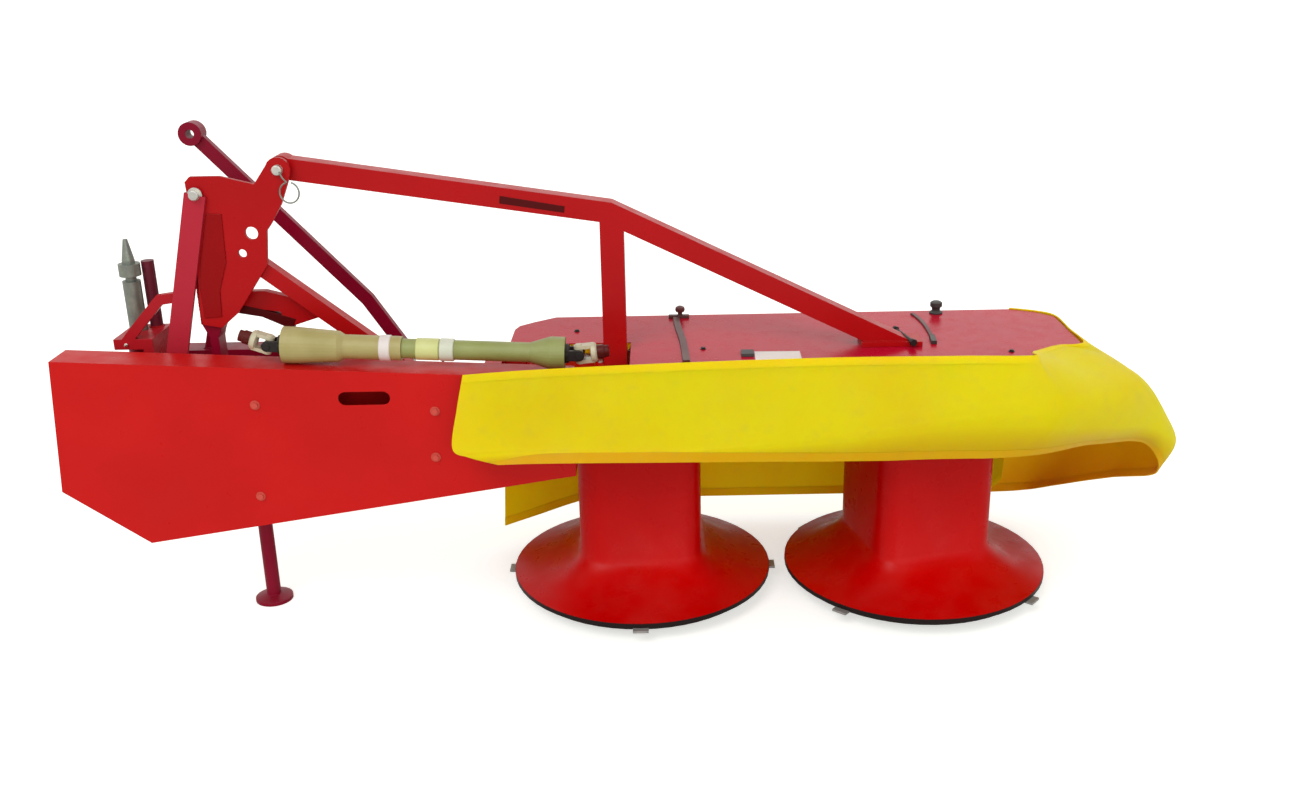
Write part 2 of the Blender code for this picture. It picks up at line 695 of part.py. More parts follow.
def mast(red, steel):
    """Plate with two ears, its column, its stay and its braces."""
    low = MAST_PLANE - MAST_SHEET / 2
    high = MAST_PLANE + MAST_SHEET / 2
    top = KNUCKLE_Z + MAIN_HALF + SEAT
    outline = [(MAST_LEFT, MAST_TOP - MAST_CORNER), (MAST_LEFT + MAST_CORNER, MAST_TOP)]
    outline += [(MAST_LEFT + MAST_SHOULDER, MAST_TOP), (ARM_PIN[0] - 2 * EAR_RADIUS, MAST_SADDLE)]
    outline += arc(ARM_PIN, EAR_RADIUS, 160, -20, 9)
    width = ARM_PIN[0] - MAST_LEFT
    height = MAST_SADDLE - MAST_LOW
    outline += [(MAST_LEFT + width * across, MAST_LOW + height * up) for across, up in MAST_EDGE_SHARES]
    plate = slab("mast_plate", "XZ", outline, low, high, red)
    holes = [(STAY_PIN, PIN_RADIUS + RUNNING), (ARM_PIN, PIN_RADIUS + RUNNING)]
    for spot, radius in holes + MAST_HOLES:
        start = (spot[0], low - OVERRUN, spot[1])
        stop = (spot[0], high + OVERRUN, spot[1])
        bore(plate, start, stop, radius)

    # Column behind the plate, on the main beam
    back = high + SEAT
    levels = [(COLUMN_FOOT_HALF, top), (COLUMN_FOOT_HALF, COLUMN_TAPER[0]), (COLUMN_HALF, COLUMN_TAPER[1])]
    levels += [(COLUMN_HALF, COLUMN_TOP)]
    outline = [(COLUMN_X + half, z) for half, z in levels]
    outline += [(COLUMN_X - half, z) for half, z in levels[::-1]]
    slab("mast_column", "XZ", outline, back, back + 2 * COLUMN_HALF, red)

    # Stay from the left ear down to the main beam's end
    front = low - SEAT
    outline = bent_outline([STAY_PIN, STAY_FOOT], STAY_WIDTH)
    stay = slab("mast_stay", "XZ", outline, front - STAY_SHEET, front, red)
    start = (STAY_PIN[0], front - STAY_SHEET - OVERRUN, STAY_PIN[1])
    stop = (STAY_PIN[0], front + OVERRUN, STAY_PIN[1])
    bore(stay, start, stop, PIN_RADIUS + RUNNING)
    start = (STAY_PIN[0], front - STAY_SHEET - OVERRUN, STAY_PIN[1])
    stop = (STAY_PIN[0], high + OVERRUN, STAY_PIN[1])
    rod("stay_pin", start, stop, PIN_RADIUS, steel)
    start = (ARM_PIN[0], low - OVERRUN, ARM_PIN[1])
    stop = (ARM_PIN[0], high + OVERRUN, ARM_PIN[1])
    rod("lock_pin", start, stop, PIN_RADIUS, steel)

    # Brace down to the main beam, and the gusset under it
    foot = (BRACE_TOP[0] + (top - BRACE_TOP[1]) / BRACE_SLOPE, top)
    outline = bent_outline([BRACE_TOP, foot], BRACE_WIDTH)
    outline[1] = level_cut(outline[0], outline[1], top)
    outline[2] = level_cut(outline[3], outline[2], top)
    slab("mast_brace", "XZ", outline, back, back + BRACE_DEPTH, red)
    left = COLUMN_X + COLUMN_HALF + SEAT
    height = GUSSET_TOP - GUSSET_LOW
    outline = [(left + GUSSET_LENGTH * across, GUSSET_LOW + height * up) for across, up in GUSSET_SHARES]
    behind = back + BRACE_DEPTH + SEAT
    slab("mast_gusset", "XZ", outline, behind, behind + GUSSET_DEPTH, red)


def swing_pivot(red, steel):
    """The carrier's yoke and the pin that the hitch frame swings on."""
    high = PIVOT_HIGH + PIVOT_LUG
    floor = PIVOT_LOW + PIVOT_LUG
    left = PIVOT_X - PIVOT_TUBE_RADIUS
    web = PIVOT_X + PIVOT_TUBE_RADIUS + OVERRUN
    outline = [(left, PIVOT_LOW), (MAIN_LEFT, PIVOT_LOW), (MAIN_LEFT, YOKE_STEP), (YOKE_WEB_RIGHT, YOKE_STEP)]
    outline += [(YOKE_WEB_RIGHT, high), (left, high), (left, PIVOT_HIGH), (web, PIVOT_HIGH), (web, floor), (left, floor)]
    near = MAST_PLANE - MAST_SHEET / 2
    yoke = slab("pivot_yoke", "XZ", outline, near, YOKE_FRONT, red)
    base = (UPRIGHT_X, UPRIGHT_Y, high - OVERRUN)
    join(yoke, rod("upright", base, (UPRIGHT_X, UPRIGHT_Y, UPRIGHT_TOP), UPRIGHT_RADIUS, red))
    outline = bent_outline(YOKE_ARM, YOKE_ARM_WIDTH)
    join(yoke, slab("yoke_arm", "XZ", outline, near, near + YOKE_ARM_DEPTH, red))
    start = (PIVOT_X, 0, PIVOT_LOW - OVERRUN)
    stop = (PIVOT_X, 0, high + OVERRUN)
    bore(yoke, start, stop, PIVOT_PIN_RADIUS + SEAT, 32)
    low = PIVOT_LOW - OVERRUN
    radius = PIVOT_PIN_RADIUS
    height = PIVOT_PIN_TOP - low
    profile = [(radius, 0)]
    profile += [(radius * out, height - radius * down) for out, down in PIVOT_TOP_SHARES]
    turned("pivot_pin", profile, (PIVOT_X, 0, low), (0, 0, 1), steel)


def drive_input(steel):
    """The bearing housing and stub that the tractor's shaft drives."""
    base = (INPUT_X, COVER_BACK + SEAT, INPUT_Z)
    length = INPUT_HOUSING_LENGTH + INPUT_SHAFT_LENGTH
    profile = [(INPUT_HOUSING_RADIUS, 0), (INPUT_HOUSING_RADIUS, INPUT_HOUSING_LENGTH)]
    profile += [(INPUT_SHAFT_RADIUS, INPUT_HOUSING_LENGTH), (INPUT_SHAFT_RADIUS, length)]
    turned("drive_input", profile, base, (0, 1, 0), steel)


def hitch_frame(red, steel):
    """Three-point frame: cross beam with its pivot tube, lower pins, post and top strut."""
    low = HITCH_Z - HITCH_HALF
    high = HITCH_Z + HITCH_HALF
    near = HITCH_PLANE - HITCH_HALF
    far = HITCH_PLANE + HITCH_HALF
    outline = [(HITCH_LEFT, low), (HITCH_RIGHT, low), (HITCH_RIGHT, high), (HITCH_LEFT, high)]
    beam = slab("hitch_beam", "XZ", outline, near, far, red)
    start = (PIVOT_X, 0, PIVOT_LOW + PIVOT_LUG + RUNNING)
    stop = (PIVOT_X, 0, PIVOT_HIGH - RUNNING)
    join(beam, rod("pivot_tube", start, stop, PIVOT_TUBE_RADIUS, red, 32))
    outline = [(PIVOT_X - PIVOT_TUBE_RADIUS / 2, low), (PIVOT_X + PIVOT_TUBE_RADIUS / 2, low)]
    outline += [(x, low + 2 * HITCH_ARM_HALF) for x, _ in outline[::-1]]
    join(beam, slab("pivot_arm", "XZ", outline, PIVOT_PIN_RADIUS, near + OVERRUN, red))
    start = (PIVOT_X, 0, PIVOT_LOW)
    stop = (PIVOT_X, 0, PIVOT_HIGH + PIVOT_LUG)
    bore(beam, start, stop, PIVOT_PIN_RADIUS + RUNNING, 32)
    for side, x, way in (("left", HITCH_LEFT, -1), ("right", HITCH_RIGHT, 1)):
        start = (x + way * SEAT, HITCH_PLANE, HITCH_Z)
        turned("hitch_pin_" + side, [(2 * HITCH_PIN_RADIUS, 0), (2 * HITCH_PIN_RADIUS, HITCH_PIN_RADIUS),
                                     (HITCH_PIN_RADIUS, HITCH_PIN_RADIUS), (HITCH_PIN_RADIUS, HITCH_PIN_LENGTH)],
               start, (way, 0, 0), steel, 24)
    top = high + SEAT
    outline = bent_outline([TOP_EYE, STRUT_KNEE, (STRUT_FOOT_X, top)], STRUT_WIDTH)
    outline[2] = level_cut(outline[1], outline[2], top)
    outline[3] = level_cut(outline[4], outline[3], top)
    strut = slab("top_strut", "XZ", outline, HITCH_PLANE - STRUT_HALF, HITCH_PLANE + STRUT_HALF, red)
    reach = 2 * STRUT_HALF
    start = (TOP_EYE[0], HITCH_PLANE - reach, TOP_EYE[1])
    stop = (TOP_EYE[0], HITCH_PLANE + reach, TOP_EYE[1])
    join(strut, rod("top_eye", start, stop, TOP_EYE_RADIUS, red))
    start = (TOP_EYE[0], HITCH_PLANE - reach - OVERRUN, TOP_EYE[1])
    stop = (TOP_EYE[0], HITCH_PLANE + reach + OVERRUN, TOP_EYE[1])
    bore(strut, start, stop, TOP_EYE_BORE)

    # Leaning post under the strut, its top cut to the strut's slope
    slope = (STRUT_KNEE[1] - TOP_EYE[1]) / (STRUT_KNEE[0] - TOP_EYE[0])
    under = STRUT_WIDTH / 2 * math.sqrt(1 + slope ** 2) + SEAT * 2
    outline = [(HITCH_POST_X - HITCH_POST_HALF, top), (HITCH_POST_X + HITCH_POST_HALF, top)]
    heads = (HITCH_POST_HEAD_X + HITCH_POST_HALF, HITCH_POST_HEAD_X - HITCH_POST_HALF)
    outline += [(x, TOP_EYE[1] + slope * (x - TOP_EYE[0]) - under) for x in heads]
    slab("hitch_post", "XZ", outline, HITCH_PLANE - HITCH_POST_HALF, HITCH_PLANE + HITCH_POST_HALF, red)


def lift_arm(red):
    """The bent arm over the cutting unit, its post and its foot."""
    foot_level = DECK_TOP + ARM_PAD / 2
    near = ARM_PLANE - ARM_SIZE / 2
    far = ARM_PLANE + ARM_SIZE / 2
    outline = bent_outline([ARM_PIN, ARM_KNEE, (ARM_FOOT_X, foot_level)], ARM_SIZE)
    outline[2] = level_cut(outline[1], outline[2], foot_level)
    outline[3] = level_cut(outline[4], outline[3], foot_level)
    arm = slab("lift_arm", "XZ", outline, near, far, red)
    start = (ARM_PIN[0], near, ARM_PIN[1])
    stop = (ARM_PIN[0], far, ARM_PIN[1])
    join(arm, rod("arm_eye", start, stop, EAR_RADIUS, red, 32))
    left = ARM_POST_X - ARM_POST_HALF
    right = ARM_POST_X + ARM_POST_HALF
    post = [(left, BEAM_TOP + SEAT), (right, BEAM_TOP + SEAT), (right, ARM_KNEE[1]), (left, ARM_KNEE[1])]
    join(arm, slab("arm_post", "XZ", post, near, far, red))
    pad = [(ARM_FOOT_X - ARM_PAD_HALF, DECK_TOP + SEAT), (ARM_FOOT_X + ARM_PAD_HALF, DECK_TOP + SEAT)]
    pad += [(x, DECK_TOP + ARM_PAD) for x, _ in pad[::-1]]
    join(arm, slab("arm_pad", "XZ", pad, near - ARM_PAD, far + ARM_PAD, red))
    start = (ARM_PIN[0], near - OVERRUN, ARM_PIN[1])
    stop = (ARM_PIN[0], far + OVERRUN, ARM_PIN[1])
    bore(arm, start, stop, PIN_RADIUS + RUNNING)


def slope_point(start, stop, distance, share):
    """A point a share of the way along a line and a distance inside it."""
    begin = Vector(start)
    run = Vector(stop) - begin
    side = Vector((run.y, -run.x)).normalized()
    return tuple(begin + run * share + side * distance)


def deck_outline():
    """Corners of the deck: notch, scooped rear corner, rounded front corners."""
    outline = [(DECK_LEFT, DECK_NOTCH_Y), (DECK_NOTCH_X, DECK_NOTCH_Y), (DECK_NOTCH_X, DECK_REAR)]
    width, depth = DECK_REAR_RIGHT
    outline += [(DECK_RIGHT - width * a, DECK_REAR + depth * b) for a, b in DECK_REAR_RIGHT_SHARES]
    width, depth = DECK_FRONT_RIGHT
    outline += [(DECK_RIGHT - width * a, DECK_FRONT - depth * b) for a, b in DECK_FRONT_RIGHT_SHARES]
    width, depth = DECK_FRONT_LEFT
    outline += [(DECK_LEFT + width * a, DECK_FRONT - depth * b) for a, b in DECK_FRONT_LEFT_SHARES]
    return outline


def rail_height(x):
    """Height of the rear rail's axis at a place along it."""
    share = (x - RAIL_LEFT[0]) / (RAIL_RIGHT[0] - RAIL_LEFT[0])
    return RAIL_LEFT[1] + (RAIL_RIGHT[1] - RAIL_LEFT[1]) * share


def guard_frame(red):
    """Deck, bearers, end arm, rails and straps."""
    under = DECK_TOP - DECK_SHEET - SEAT
    slab("deck", "XY", deck_outline(), DECK_TOP - DECK_SHEET, DECK_TOP, red)

    # Bearers across the beam, each with an upstand to the rear rail and an arm down to the front rail
    low = BEAM_TOP + SEAT
    start = (DECK_FRONT + SKIRT_HOLD, DECK_TOP)
    stop = (SHOULDER_Y, SHOULDER_Z)
    rail_y = SHOULDER_Y - SKIRT_HOLD - RAIL_RADIUS
    rail_z = SHOULDER_Z - 2 * RAIL_RADIUS
    end = rail_y - RAIL_RADIUS - SEAT
    spare = 4 * SKIRT_SHEET
    upper = slope_point(start, stop, spare, 0)
    lower = slope_point(start, stop, spare, 1)
    tip = (end, upper[1] + (lower[1] - upper[1]) * (end - upper[0]) / (lower[0] - upper[0]))
    bend = (upper[0] + (lower[0] - upper[0]) * (under - upper[1]) / (lower[1] - upper[1]), under)
    outer = RAIL_REAR_Y - RAIL_RADIUS
    inner = DECK_REAR - DECK_SHEET
    outline = [(outer, low), (bend[0] - BEARER_SLOPE_DEPTH, low), (end, tip[1] - BEARER_SLOPE_DEPTH), tip, bend]
    for side, x in BEARERS:
        rise = rail_height(x - BEARER_HALF) - RAIL_RADIUS - SEAT
        stem = [(inner, under), (inner, rise), (outer, rise)]
        slab("bearer_" + side, "YZ", outline + stem, x - BEARER_HALF, x + BEARER_HALF, red)
    front_left = -RAIL_FRONT_REACH
    front_right = DRUM_SPACING + RAIL_FRONT_REACH
    rod("rail_front", (front_left, rail_y, rail_z), (front_right, rail_y, rail_z), RAIL_RADIUS, red, 16)

    # Arm at the far end
    begin = DRUM_SPACING + 2 * BEARER_HALF
    start = (DECK_RIGHT + SKIRT_HOLD, DECK_TOP)
    before, after = (Vector(station[1]) for station in end_stations(0)[3:5])
    meet = before + (after - before) * before.y / (before.y - after.y)
    stop = (meet.x, meet.z)
    upper = slope_point(start, stop, 2 * spare, 0)
    lower = slope_point(start, stop, 2 * spare, 1)
    bend = (upper[0] + (lower[0] - upper[0]) * (under - upper[1]) / (lower[1] - upper[1]), under)
    outline = [(begin, low), (bend[0] - BEARER_SLOPE_DEPTH, low), (lower[0] - BEARER_SLOPE_DEPTH, lower[1])]
    outline += [lower, bend, (begin, under)]
    slab("end_arm", "XZ", outline, -BEARER_HALF, BEARER_HALF, red)

    # Rear rail and the straps across the deck
    begin, stop = ((x, RAIL_REAR_Y, z) for x, z in (RAIL_LEFT, RAIL_RIGHT))
    rod("rail_rear", begin, stop, RAIL_RADIUS, red, 16)
    for side, x in STRAPS:
        low = DECK_TOP + SEAT
        front = DECK_FRONT - KNOB_RADIUS
        outline = [(STRAP_REAR, low), (front, low), (front, low + STRAP_SHEET), (STRAP_REAR, low + STRAP_SHEET)]
        strap = slab("strap_" + side, "YZ", outline, x - STRAP_HALF, x + STRAP_HALF, red)
        base = (x, front - KNOB_RADIUS, low + STRAP_SHEET / 2)
        knob = [(KNOB_RADIUS / 2, 0), (KNOB_RADIUS / 2, KNOB_HEIGHT / 2), (KNOB_RADIUS, KNOB_HEIGHT / 2)]
        knob += [(KNOB_RADIUS, KNOB_HEIGHT)]
        join(strap, turned("knob_" + side, knob, base, (0, 0, 1), red, 16))


def end_stations(first_y):
    """Stations of the end skirt: its top, middle and low points; the first top has its own depth."""
    line = inset(deck_outline(), -SKIRT_HOLD)
    tops = [(SKIRT_END_START, first_y)] + line[4:10]
    near = (*SKIRT_END_NEAR, SKIRT_LOW)
    far = (SKIRT_END_FAR_X, SHOULDER_Y, SKIRT_TOP)
    stations = []
    for (x, y), (rise, *shares) in zip(tops, SKIRT_END_SHARES):
        station = [(x, y, DECK_TOP + (SKIRT_TOP - DECK_TOP) * rise)]
        station += [tuple(a + (b - a) * part for a, b, part in zip(near, far, share)) for share in shares]
        stations.append(station)
    return stations


def skirts(yellow):
    """Fabric skirts behind, round the far end and in front of the drums."""
    # Rear skirt: its top lies against the rail, its lower left corner is cut off
    mid_y, mid_z = SKIRT_REAR_MID
    low_y, low_z = SKIRT_REAR_LOW
    stations = []
    for along, rise in SKIRT_REAR_SHARES:
        top_x, mid_x, low_x = (a + (b - a) * along for a, b in zip(SKIRT_REAR_LEFT, SKIRT_REAR_RIGHT))
        top_z = SKIRT_TOP_LEFT + (SKIRT_TOP - SKIRT_TOP_LEFT) * rise
        run = Vector((RAIL_REAR_Y - mid_y, rail_height(top_x) - mid_z))
        lean = math.atan2(run.x, run.y) - math.asin((RAIL_RADIUS + SKIRT_SHEET / 2 + 2 * SEAT) / run.length)
        top_y = mid_y + (top_z - mid_z) * math.tan(lean)
        stations.append([(top_x, top_y, top_z), (mid_x, mid_y, mid_z), (low_x, low_y, low_z)])
    sheet("skirt_rear", stations, SKIRT_SHEET, yellow)
    sheet("skirt_end", end_stations(top_y), SKIRT_SHEET, yellow)

    # Front skirt, from its right end to its left corner
    line = inset(deck_outline(), -SKIRT_HOLD)
    tops = [line[-2], line[-3], line[-4], (SKIRT_FRONT_CORNER_X, line[-4][1])]
    tip_x, tip_y = SKIRT_FRONT_TIP
    stations = []
    for (x, y), (across, ahead, out) in zip(tops, SKIRT_FRONT_SHARES):
        low = (tip_x + (SKIRT_FRONT_CORNER_X - tip_x) * across, tip_y + (SHOULDER_Y - tip_y) * ahead)
        middle = (x + (low[0] - x) * out, y + (low[1] - y) * out)
        stations.append([(x, y, DECK_TOP), (*middle, SHOULDER_Z), (*low, SKIRT_LOW)])
    end = [(SKIRT_FRONT_END, y, z) for _, y, z in stations[-1]]
    sheet("skirt_front", [end] + stations[::-1], SKIRT_SHEET, yellow)


def stand(red):
    """The parking stand and the sleeve it slides in."""
    top = KNUCKLE_Z + MAIN_HALF
    inner = STAND_RADIUS + RUNNING
    outer = inner + SLEEVE_WALL
    profile = [(inner, SLEEVE_LOW), (outer, SLEEVE_LOW), (outer, top), (inner, top)]
    turned("stand_sleeve", profile, (STAND_X, STAND_Y, 0), (0, 0, 1), red, 32, ring=True)
    profile = [(STAND_FOOT_RADIUS, 0), (STAND_FOOT_RADIUS, STAND_FOOT_SHEET)]
    profile += [(STAND_RADIUS, 2 * STAND_FOOT_SHEET), (STAND_RADIUS, STAND_TOP)]
    turned("stand", profile, (STAND_X, STAND_Y, 0), (0, 0, 1), red)


def drive_shaft(olive, green, steel):
    """The guarded drive shaft that lies on the belt cover."""
    top = Vector(COVER_RIGHT_TOP) - Vector(COVER_LEFT_TOP)
    lead = top.normalized()
    height = COVER_LEFT_TOP[1] + (SHAFT_LEFT - COVER_LEFT_TOP[0]) * top.y / top.x
    base = Vector((SHAFT_LEFT, SHAFT_PLANE, height + (SHAFT_GUARD_RADIUS + SEAT) / lead.x))
    axis = Vector((lead.x, 0, lead.y))
    guard = SHAFT_GUARD_RADIUS
    # Pieces: name, material, start along the shaft, profile of (share of the guard's radius, length)
    pieces = [
        ("shaft_yoke_left", steel, 0.000, [(0.60, 0), (0.60, 0.052)]),
        ("shaft_guard_outer", olive, 0.052, [(1.0, 0), (1.0, 0.030), (0.84, 0.150), (0.66, 0.165), (0.66, 0.320)]),
        ("shaft_guard_inner", green, 0.372, [(0.54, 0), (0.54, 0.345), (0.90, 0.400), (0.90, 0.440)]),
        ("shaft_yoke_right", steel, 0.812, [(0.60, 0), (0.60, 0.060)]),
    ]
    for name, material, start, profile in pieces:
        shape = [(share * guard, along) for share, along in profile]
        shape[0] = (shape[0][0], SEAT)
        turned(name, shape, base + axis * start, axis, material)


def hang(name, place, pieces):
    """Hang pieces on an empty on their joint's axis, where they stay in place."""
    axis = bpy.data.objects.new(name, None)
    axis.location = place
    bpy.context.collection.objects.link(axis)
    for piece in pieces:
        solid = bpy.data.objects[piece]
        solid.parent = axis
        solid.location = -Vector(place)


def build():
    """Build every piece."""
    clear_scene()
    red = finish("red_paint", (0.60, 0.020, 0.016), 0.35)
    drum_red = finish("drum_paint", (0.50, 0.010, 0.008), 0.35)
    steel = finish("zinc_steel", (0.50, 0.50, 0.47), 0.35, 1.0)
    dark = finish("dark_steel", (0.03, 0.025, 0.025), 0.55)
    yellow = finish("yellow_fabric", (0.80, 0.65, 0.01), 0.55)
    olive = finish("olive_plastic", (0.40, 0.40, 0.12), 0.50)
    green = finish("green_plastic", (0.20, 0.30, 0.08), 0.50)
    for side, place, turn, knife_turn in DRUMS:
        x = place * DRUM_SPACING
        drum("drum_" + side, x, turn, drum_red)
        dish("dish_" + side, x, dark)
        knives("knives_" + side, x, knife_turn, steel)
    gear_beam(drum_red)
    gearbox(drum_red)
    knuckle_fork(red)
    main_beam(red)
    belt_cover(red)
    belt_back_plate(red)
    cover_bracket(red)
    mast(red, steel)
    swing_pivot(red, steel)
    drive_input(steel)
    hitch_frame(red, steel)
    lift_arm(red)
    guard_frame(red)
    skirts(yellow)
    stand(red)
    drive_shaft(olive, green, steel)

    # Moving bodies
    hang("hitch_axis", (PIVOT_X, 0, HITCH_Z), HITCH_PIECES)
    hang("tilt_axis", (KNUCKLE_X, 0, KNUCKLE_Z), UNIT_PIECES)
    for side, place, _, _ in DRUMS:
        hang("drum_axis_" + side, (place * DRUM_SPACING, 0, 0), ["drum_" + side, "knives_" + side])
    hang("stand_axis", (STAND_X, STAND_Y, 0), ["stand"])


build()
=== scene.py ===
"""Finishes the two-drum mower: paint, plating and fabric, the guard's skirts, and its small fittings.

Metres, in the model's frame: +X runs along the drums, +Y is the direction of travel, +Z is up.
"""
import json
import math

import bmesh
import bpy
from mathutils import Matrix, Vector, noise


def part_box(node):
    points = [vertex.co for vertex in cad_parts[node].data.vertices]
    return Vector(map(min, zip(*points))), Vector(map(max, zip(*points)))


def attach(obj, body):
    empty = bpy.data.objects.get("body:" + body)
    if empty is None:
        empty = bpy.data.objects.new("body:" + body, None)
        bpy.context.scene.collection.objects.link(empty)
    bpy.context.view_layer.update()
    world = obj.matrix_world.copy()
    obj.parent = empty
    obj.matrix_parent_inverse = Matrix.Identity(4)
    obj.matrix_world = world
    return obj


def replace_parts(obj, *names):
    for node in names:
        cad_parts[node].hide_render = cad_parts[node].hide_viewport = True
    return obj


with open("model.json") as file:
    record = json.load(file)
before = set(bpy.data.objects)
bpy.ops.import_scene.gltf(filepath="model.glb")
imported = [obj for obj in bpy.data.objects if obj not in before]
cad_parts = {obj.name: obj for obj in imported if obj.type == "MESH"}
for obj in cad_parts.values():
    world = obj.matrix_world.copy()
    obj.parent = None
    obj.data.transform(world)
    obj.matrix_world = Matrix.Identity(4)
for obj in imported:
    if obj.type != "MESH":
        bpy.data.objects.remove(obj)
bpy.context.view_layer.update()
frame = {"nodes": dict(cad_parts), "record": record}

# Camera of the photo: focal length and frame width in pixels, place in metres, angles in degrees
FOCAL_PX = 1300.0
FRAME_PX = 1296.0
SENSOR = 36.0
CAMERA_PLACE = (0.08, -3.59, 1.87)
CAMERA_PITCH = 19.7
CAMERA_HEADING = -0.82
CAMERA_ROLL = -1.27

# Studio: the share of white that the floor shows to the camera alone, the world's strength on the
# object, and each sun's name, direction, strength and angle
FLOOR_LIFT = 0.60
FLOOR_COLOUR = (0.80, 0.80, 0.775, 1.0)
FLOOR_GLOW = (1.0, 1.0, 0.965, 1.0)
SKY_COLOUR = (1.0, 1.0, 0.98, 1.0)
SKY_STRENGTH = 0.58
SUNS = [
    ("key", (0.45, 0.80, -1.0), 0.95, 30.0),
    ("fill", (-0.35, 1.00, -0.30), 0.70, 50.0),
    ("back", (-0.30, -0.90, -0.80), 0.35, 50.0),
]

# Sheet metal and beams, as the solids have them
COVER_FACE = -0.300
COVER_BACK = -0.192
DECK_TOP = 0.762
BEAM_TOP = 0.705
GEARBOX_TOP = 0.695
DRUM_SPACING = 0.825
RIM_LINE = 0.060

# Axes of the solids: (x, z) for the level ones along Y, (y, z) for the hitch pins, (x, y) for upright ones
TRUNNION = (-0.260, 0.635)
INPUT = (-1.360, 0.500)
HITCH = (0.200, 0.672)
STAY_PIN = (-1.180, 1.234)
ARM_PIN = (-0.952, 1.295)
UPRIGHT = (-1.395, 0.034)
STAND = (-1.114, -0.090)
PIVOT_X = -1.435

# Clearance under what is laid on a face, and the radii of bolt heads and weld beads
SEAT = 0.0004
SMALL_BOLT = 0.0055
BEAM_BOLT = 0.008
COVER_BOLT = 0.0095
BEAD = 0.0030

# Bolts on the cover's face, as (x, z)
COVER_BOLTS = [(-1.0276, 0.6971), (-1.0439, 0.4294), (-0.5427, 0.6709), (-0.5502, 0.5370)]

# Upright plates on the mast and the arm, the mast's two being dark strips of painted shade: corners as (x, z)
MAST_SHADE_OUTLINE = [(-1.159, 1.180), (-1.118, 1.179), (-1.122, 1.046), (-1.150, 0.965),
             (-1.154, 0.890), (-1.203, 0.886), (-1.204, 0.980), (-1.1935, 1.046)]
GUSSET_SHADE_OUTLINE = [(-1.1393, 0.9145), (-1.0565, 0.8945), (-0.9640, 0.8640), (-0.9760, 0.8310),
                 (-1.0000, 0.8445), (-1.0594, 0.8725), (-1.1317, 0.8860)]
ARM_PLATE = [(-0.362, 1.2085), (-0.186, 1.1765), (-0.188, 1.1590), (-0.364, 1.1880)]

# Profiles to turn, as (radius, distance)
KNOB = [(0.007, 0), (0.007, 0.012), (0.013, 0.015), (0.0150, 0.021), (0.0135, 0.028), (0.007, 0.032)]
LATCH = [(0.020, 0), (0.020, 0.004), (0.012, 0.010), (0.013, 0.018), (0.018, 0.022), (0.018, 0.034),
         (0.012, 0.038)]
NIPPLE = [(0.0050, 0), (0.0050, 0.004), (0.0030, 0.005), (0.0030, 0.009), (0.0036, 0.010), (0.0020, 0.013)]
SLEEVE = [(0.019, 0), (0.019, 0.022), (0.016, 0.026), (0.016, 0.036), (0.011, 0.036), (0.011, 0.010)]

# Middle lines of the straps on the deck, as (x, y)
NEAR_STRAP = [(0.117, 0.255), (0.118, 0.200), (0.123, 0.115), (0.129, 0.045), (0.135, -0.050),
              (0.139, -0.195)]
FAR_STRAP = [(0.836, 0.236), (0.843, 0.205), (0.850, 0.150), (0.851, 0.070), (0.848, -0.010)]

# Skirt cloth: thickness, hem and top band, cells from top to hem, and folds as (scale, height, stretch)
CLOTH = 0.0022
HEM_WIDTH = 0.028
HEM_LIFT = 0.0011
BAND_WIDTH = 0.022
BAND_LIFT = 0.0008
DROP_CELLS = 30
GUARD_FOLDS = [(3.1, 0.0040, 0.6), (8.0, 0.0020, 0.4), (19.0, 0.0007, 0.7)]
FRONT_FOLDS = [(2.3, 0.0018, 0.35), (6.0, 0.0012, 0.3)]

